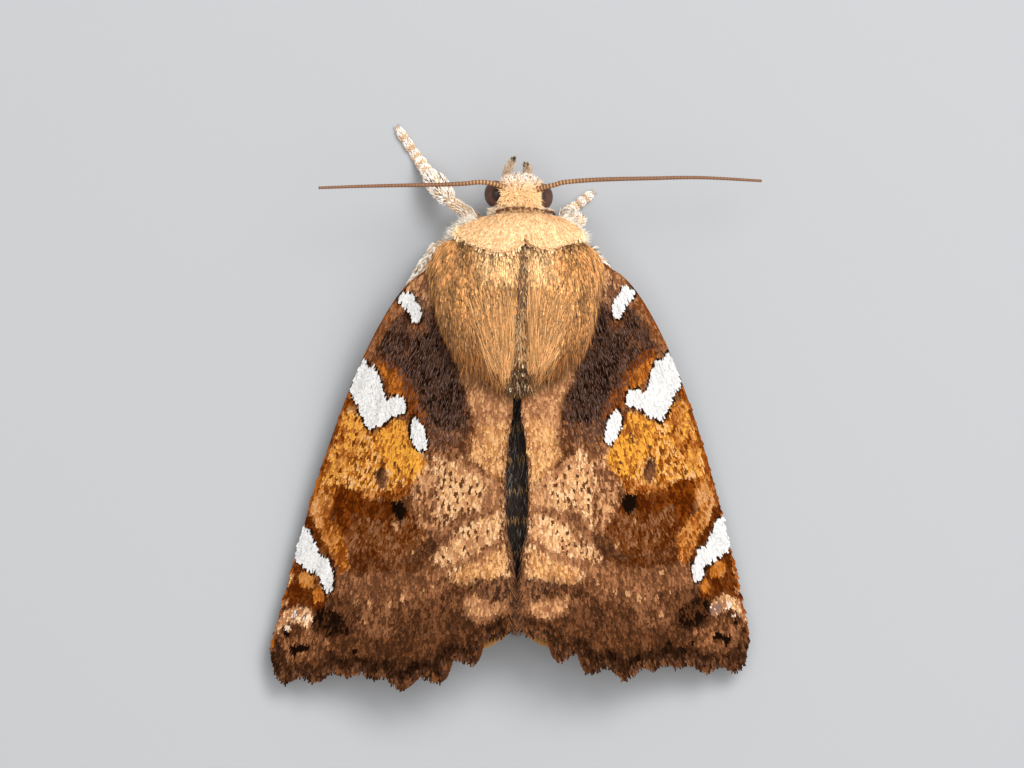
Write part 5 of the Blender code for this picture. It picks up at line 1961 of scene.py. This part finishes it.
@dataclass
class Eyes:
    """Two bulging, glossy eyes sunk in the fur of the head."""

    centre: tuple[float, float, float] = (0.85, -7.86, 2.6)
    radii: tuple[float, float, float] = (0.42, 0.5, 0.62)
    shift: float = -0.06
    tilt: float = 0.05

    def build(self, maker: Maker) -> None:
        """Make both eyes.

        Args:
            maker: Maker of pieces.
        """
        turn = np.linspace(0.02, np.pi - 0.02, 48)[:, None]
        around = np.linspace(0, 2 * np.pi, 64, endpoint=False)[None]
        ball = np.stack([np.cos(turn) + 0 * around, np.sin(turn) * np.cos(around),
                         np.sin(turn) * np.sin(around)], -1)
        finish = EyeFinish()
        for side in SIDES:
            middle = (np.array(self.centre) * [side.sign, 1, 1]
                      + [self.shift, self.tilt * (1 - side.sign), 0])
            eye = loft(ball * np.array(self.radii) + middle)
            out = unit(eye.vertices - middle)
            toward = unit(np.array([-side.sign * 0.16, 0.05, 1.0]))
            core = ramp(0.86, 0.97, out @ toward)[:, None]
            tint = mixed(finish.rim, finish.core, core)
            maker.piece("eye_globe_" + side.tag, eye, tint, finish,
                        ("eye_" + side.tag,))


@dataclass
class Feelers:
    """Thread-like antennae, ringed and paler towards the root."""

    routes: dict[str, tuple[tuple[float, float, float], ...]] = field(default_factory=lambda: {
        "l": ((0.46, -8.08, 3.25), (0.76, -8.2, 3.5), (1.09, -8.27, 3.62), (1.52, -8.28, 3.7),
              (1.95, -8.23, 3.74), (2.85, -8.19, 3.8),
              (4.33, -8.16, 3.95), (5.8, -8.12, 4.2), (7.3, -8.06, 4.6)),
        "r": ((-0.74, -8.02, 3.25), (-1.13, -8.13, 3.5), (-1.4, -8.19, 3.6), (-1.81, -8.29, 3.68),
              (-3.07, -8.38, 3.72),
              (-4.95, -8.43, 3.5), (-6.8, -8.46, 3.25), (-9.05, -8.35, 2.8))})
    thick: float = 0.086
    thin: float = 0.045
    step: float = 0.125
    steps: int = 900
    sides: int = 12

    def build(self, maker: Maker) -> None:
        """Make both antennae.

        Args:
            maker: Maker of pieces.
        """
        for side in SIDES:
            path = smooth_path(self.routes[side.tag], self.steps)
            reach = np.linspace(0, np.linalg.norm(np.diff(path, axis=0), axis=1).sum(), len(path))
            share = reach / reach[-1]
            ring = (reach / self.step) % 1.0
            radii = self.thick + (self.thin - self.thick) * share
            radii *= 1 + 0.14 * np.sin(np.pi * ring)
            radii *= 1 + 0.35 * np.exp(-(reach / 0.2) ** 2)
            surface = tube(path, radii, self.sides)
            along = np.repeat(np.arange(len(path)), self.sides)
            bright = (ring[along] < 0.4) * (0.1 + 0.6 * ramp(0.34, 0.02, share[along]))
            turn = np.linspace(0, 2 * np.pi, self.sides, endpoint=False)
            up = np.sin(np.tile(turn, len(path)))
            bright = (bright * (0.5 + 0.5 * (up > -0.3)))[:, None]
            tint = mixed(paint(112, 76, 54), paint(222, 176, 118), bright)
            tint = np.vstack([tint, tint[:1], tint[-1:]])
            maker.piece("feeler_" + side.tag, surface, tint, FEELER_SCALES,
                        ("antenna_" + side.tag,))


@dataclass
class Palps:
    """Two upcurved palps in front of the face, clothed in speckled scales."""

    routes: dict[str, tuple[tuple[float, float, float], ...]] = field(default_factory=lambda: {
        "l": ((0.4, -8.15, 1.75), (0.38, -8.5, 1.9), (0.31, -8.83, 2.25), (0.13, -9.13, 2.75)),
        "r": ((-0.36, -8.15, 1.75), (-0.4, -8.5, 1.9), (-0.38, -8.78, 2.3), (-0.33, -8.95, 2.7))})
    widths: tuple[float, ...] = (0.12, 0.145, 0.125, 0.07)
    steps: int = 40
    hairs: int = 1500

    def build(self, maker: Maker) -> None:
        """Make both palps and their coat.

        Args:
            maker: Maker of pieces.
        """
        draw = np.random.default_rng(81)
        coat = Coat()
        for number, side in enumerate(SIDES):
            path = smooth_path(self.routes[side.tag], self.steps)
            radii = np.interp(np.linspace(0, 1, self.steps),
                              np.linspace(0, 1, len(self.widths)), self.widths)
            core = tube(path, radii, 16)
            maker.piece("palp_core_" + side.tag, core, paint(214, 180, 142), MEMBRANE,
                        ("palp_" + side.tag,))
            spots, up, flat = core.scatter(self.hairs, draw)
            count = len(spots)
            nearest = nearest_step(spots, path)
            ahead = unit(np.gradient(path, axis=0)[nearest] + draw.normal(0, 0.004, spots.shape))
            tip = ramp(0.78, 0.98, nearest / self.steps)
            pale = varied(draw, count, paint(255, 236, 212), 0.85, 1.1)
            dark = varied(draw, count, mixed(paint(146, 106, 78), paint(66, 48, 38), tip[:, None]),
                          0.6, 1.4)
            tints = np.where((draw.random(count) < 0.1 + 0.6 * tip)[:, None], dark, pale)
            coat.hairs(spots, ahead, up, draw.uniform(0.1, 0.18, count),
                       np.full(count, 0.035), draw.uniform(0.01, 0.04, count), tints,
                       flat * [0.5, 1] + [0.5 * number, 0])
        maker.coat("palp_scales", coat, FUR, Slot.PALE)


@dataclass(frozen=True)
class Leg:
    """One leg: its joints from the body to the claws, and the radii of its parts."""

    name: str
    coxa: tuple[float, float, float]
    knee: tuple[float, float, float]
    ankle: tuple[float, float, float]
    toe: tuple[float, float]
    shin: float


LEGS = (
    Leg("fore_l", (1.1, -6.6, 1.1), (2.5, -7.65, 1.75), (3.3, -8.65, 0.8), (4.4, -10.3), 0.36),
    Leg("fore_r", (-1.1, -6.55, 1.1), (-2.35, -6.87, 2.0), (-1.75, -7.1, 0.75), (-2.75, -7.9),
        0.28),
    Leg("mid_l", (1.35, -4.7, 0.38), (2.85, -6.05, 1.7), (4.35, -3.3, 0.85), (5.4, -0.6), 0.34),
    Leg("mid_r", (-1.35, -4.7, 0.38), (-2.6, -5.9, 1.75), (-4.2, -3.4, 0.85), (-5.2, -0.8), 0.32),
    Leg("hind_l", (1.15, -2.3, 0.42), (2.65, -0.3, 1.0), (3.2, 3.3, 0.7), (3.9, 6.6), 0.32),
    Leg("hind_r", (-1.15, -2.3, 0.42), (-2.65, -0.3, 1.0), (-3.15, 3.2, 0.7), (-3.8, 6.4), 0.32),
)


LEG_HAIRS = {"femur": 850, "tibia": 1300, "tarsus": 1100}
LEG_HAIR_LENGTH = {"femur": 0.2, "tibia": 0.26, "tarsus": 0.12}


@dataclass
class Legs:
    """Six legs of femur, tibia and five-jointed tarsus with claws, clothed in scales."""

    femur: float = 0.2
    joint: float = 0.15
    tarsus: float = 0.2
    sole: float = 0.13
    floor_gap: float = 0.01
    tarsus_steps: int = 90
    tarsus_joints: int = 5

    def parts(self, leg: Leg) -> list[tuple[Surface, Array, str]]:
        """Shape the three lengths of a leg and its claws.

        Args:
            leg: The leg's joints.

        Returns:
            Each part's surface, middle line and name.
        """
        coxa, knee, ankle = (np.array(place) for place in (leg.coxa, leg.knee, leg.ankle))
        toe = np.array([*leg.toe, self.sole])
        touch = ankle + (toe - ankle) * 0.35
        touch[2] = self.sole
        made = []
        for name, ends, thick in (("femur", (coxa, knee), self.femur),
                                  ("tibia", (knee, ankle), leg.shin)):
            path = np.linspace(*ends, 50)
            t = np.linspace(0, 1, 50)
            radii = self.joint + (thick - self.joint) * np.sin(np.pi * t) ** 0.6
            radii *= np.sqrt(np.clip(np.minimum(t, 1 - t) / 0.04, 0.05, 1))
            made.append((tube(path, radii, 20), path, name))
        path = smooth_path((ankle, touch, (touch + toe) / 2, toe), self.tarsus_steps)
        t = np.linspace(0, 1, self.tarsus_steps)
        beads = 0.72 + 0.28 * np.abs(np.sin(np.pi * (t * self.tarsus_joints + 0.02))) ** 0.5
        radii = (self.tarsus - 0.06 * t) * beads
        made.append((tube(path, radii, 16), path, "tarsus"))
        ahead = unit(toe - touch)
        across = np.array([-ahead[1], ahead[0], 0])
        for turn in (-1, 1):
            claw = smooth_path((toe, toe + ahead * 0.12 + across * 0.07 * turn,
                                toe + ahead * 0.2 + across * 0.1 * turn - [0, 0, 0.07]), 10)
            made.append((tube(claw, np.linspace(0.03, 0.008, 10), 8), claw, "claw"))
        return made

    def build(self, maker: Maker) -> None:
        """Make the legs and their coat.

        Args:
            maker: Maker of pieces.
        """
        draw = np.random.default_rng(91)
        coat = Coat()
        for number, leg in enumerate(LEGS):
            parts = self.parts(leg)
            whole = merged([part[0] for part in parts])
            whole.vertices[:, 2] = np.maximum(whole.vertices[:, 2], self.floor_gap)
            nodes = tuple(f"{part}_{leg.name}" for part in ("femur", "tibia", "tarsus"))
            maker.piece("leg_" + leg.name, whole, paint(176, 150, 122), MEMBRANE,
                        nodes)
            for order, (surface, path, name) in enumerate(parts[:3]):
                self.clothe(coat, surface, path, name, draw,
                            np.array([number / 6, order / 3]))
        for corners in coat.vertices:
            corners[:, 2] = np.maximum(corners[:, 2], self.floor_gap)
        maker.coat("leg_scales", coat, FUR, Slot.LEG)

    def clothe(self, coat: Coat, surface: Surface, path: Array, name: str,
               draw: np.random.Generator, corner: Array) -> None:
        """Lay scales along one length of a leg.

        Args:
            coat: The coat that takes them.
            surface: The length's surface.
            path: Its middle line.
            name: Which length it is.
            draw: Source of random numbers.
            corner: Corner of its tile on the unwrap.
        """
        spots, up, flat = surface.scatter(LEG_HAIRS[name], draw)
        keep = (up[:, 2] > -0.3) | (spots[:, 2] > 0.3)
        spots, up, flat = spots[keep], up[keep], flat[keep]
        spots[:, 2] = np.maximum(spots[:, 2], 0.09)
        count = len(spots)
        nearest = nearest_step(spots, path)
        ahead = unit(unit(np.gradient(path, axis=0))[nearest] + draw.normal(0, 0.2, spots.shape))
        ahead = laid(ahead, up, 0.9)
        white = varied(draw, count, paint(252, 244, 234), 0.88, 1.12)
        fawn = varied(draw, count, paint(236, 200, 154), 0.7, 1.05)
        dark = varied(draw, count, paint(96, 80, 68), 0.6, 1.3)
        if name == "tarsus":
            ring = (nearest / self.tarsus_steps * self.tarsus_joints + 0.1) % 1.0
            tints = np.where((ring < 0.42)[:, None], np.array(paint(244, 206, 166))
                             * draw.uniform(0.7, 1.1, (count, 1)), white)
        elif name == "tibia":
            tints = np.where((draw.random(count) < 0.2)[:, None], dark, white)
            tints = np.where((draw.random(count) < 0.2)[:, None], fawn, tints)
        else:
            tints = np.where((draw.random(count) < 0.55)[:, None], fawn, white)
        reach = LEG_HAIR_LENGTH[name]
        floor_clear = np.clip(spots[:, 2] / 0.25, 0.05, 1)
        coat.hairs(spots, ahead, up, draw.uniform(0.6, 1.1, count) * reach,
                   draw.uniform(0.035, 0.055, count), draw.uniform(0.01, 0.08, count) * floor_clear,
                   tints, corner + flat * [1 / 6, 1 / 3])


# Each lamp's name, place and size in metres, and power in watts.
LAMPS = (("soft_lamp", (-0.05, -0.03, 0.3), 0.35, 1.12),
         ("key_lamp", (-0.095, -0.12, 0.25), 0.12, 0.6))


@dataclass
class Studio:
    """A plain pale floor, soft light from above and a camera that looks straight down."""

    camera_height: float = 400.0
    focus_level: float = 2.4
    frame_width: float = 1024 / PHOTO_SCALE
    sensor: float = 36.0
    floor_half: float = 0.6
    sky: float = 0.42

    def build(self) -> None:
        """Make the floor, the lights and the camera."""
        self.floor()
        self.lights()
        self.camera()

    def floor(self) -> None:
        """Lay the floor."""
        mesh = bpy.data.meshes.new("floor")
        half = self.floor_half
        mesh.from_pydata([(-half, -half, 0), (half, -half, 0), (half, half, 0), (-half, half, 0)],
                         [], [(0, 1, 2, 3)])
        material = bpy.data.materials.new("plain_floor")
        material.use_nodes = True
        shader = material.node_tree.nodes["Principled BSDF"]
        shader.inputs["Base Color"].default_value = (*paint(157, 158, 160), 1)
        shader.inputs["Roughness"].default_value = 0.8
        mesh.materials.append(material)
        floor = bpy.data.objects.new("floor", mesh)
        bpy.context.scene.collection.objects.link(floor)

    def lights(self) -> None:
        """Hang a broad lamp, a smaller key lamp and a pale sky."""
        for name, place, size, power in LAMPS:
            data = bpy.data.lights.new(name, "AREA")
            data.energy = power
            data.size = size
            lamp = bpy.data.objects.new(name, data)
            lamp.location = place
            away = np.array(place) / np.linalg.norm(place)
            lamp.rotation_euler = (math.acos(away[2]), 0,
                                   math.atan2(away[1], away[0]) + math.pi / 2)
            bpy.context.scene.collection.objects.link(lamp)
        world = bpy.data.worlds.new("pale_sky")
        world.use_nodes = True
        sky = world.node_tree.nodes["Background"]
        sky.inputs["Color"].default_value = (1, 1, 1, 1)
        sky.inputs["Strength"].default_value = self.sky
        bpy.context.scene.world = world
        bpy.context.scene.view_settings.view_transform = "Standard"

    def camera(self) -> None:
        """Set the camera over the photograph's middle, with the head at the top."""
        data = bpy.data.cameras.new("camera")
        data.sensor_width = self.sensor
        data.lens = self.sensor * (self.camera_height - self.focus_level) / self.frame_width
        data.clip_start = 0.01
        middle = from_photo([(512, 384)])[0]
        camera = bpy.data.objects.new("camera", data)
        camera.location = (middle[0] * MM, middle[1] * MM, self.camera_height * MM)
        camera.rotation_euler = (0, 0, math.pi)
        bpy.context.scene.collection.objects.link(camera)
        bpy.context.scene.camera = camera


def main() -> None:
    """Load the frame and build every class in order."""
    logging.basicConfig(level=logging.INFO, format="%(message)s")
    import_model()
    maker = Maker()
    for side in SIDES:
        Hindwing(side).build(maker)
        Forewing(side).build(maker)
    for group in (Body(), Collar(), Mantle(), Eyes(), Feelers(), Palps(), Legs()):
        group.build(maker)
        LOG.info("built %s", type(group).__name__)
    Studio().build()


if __name__ == "__main__":
    main()
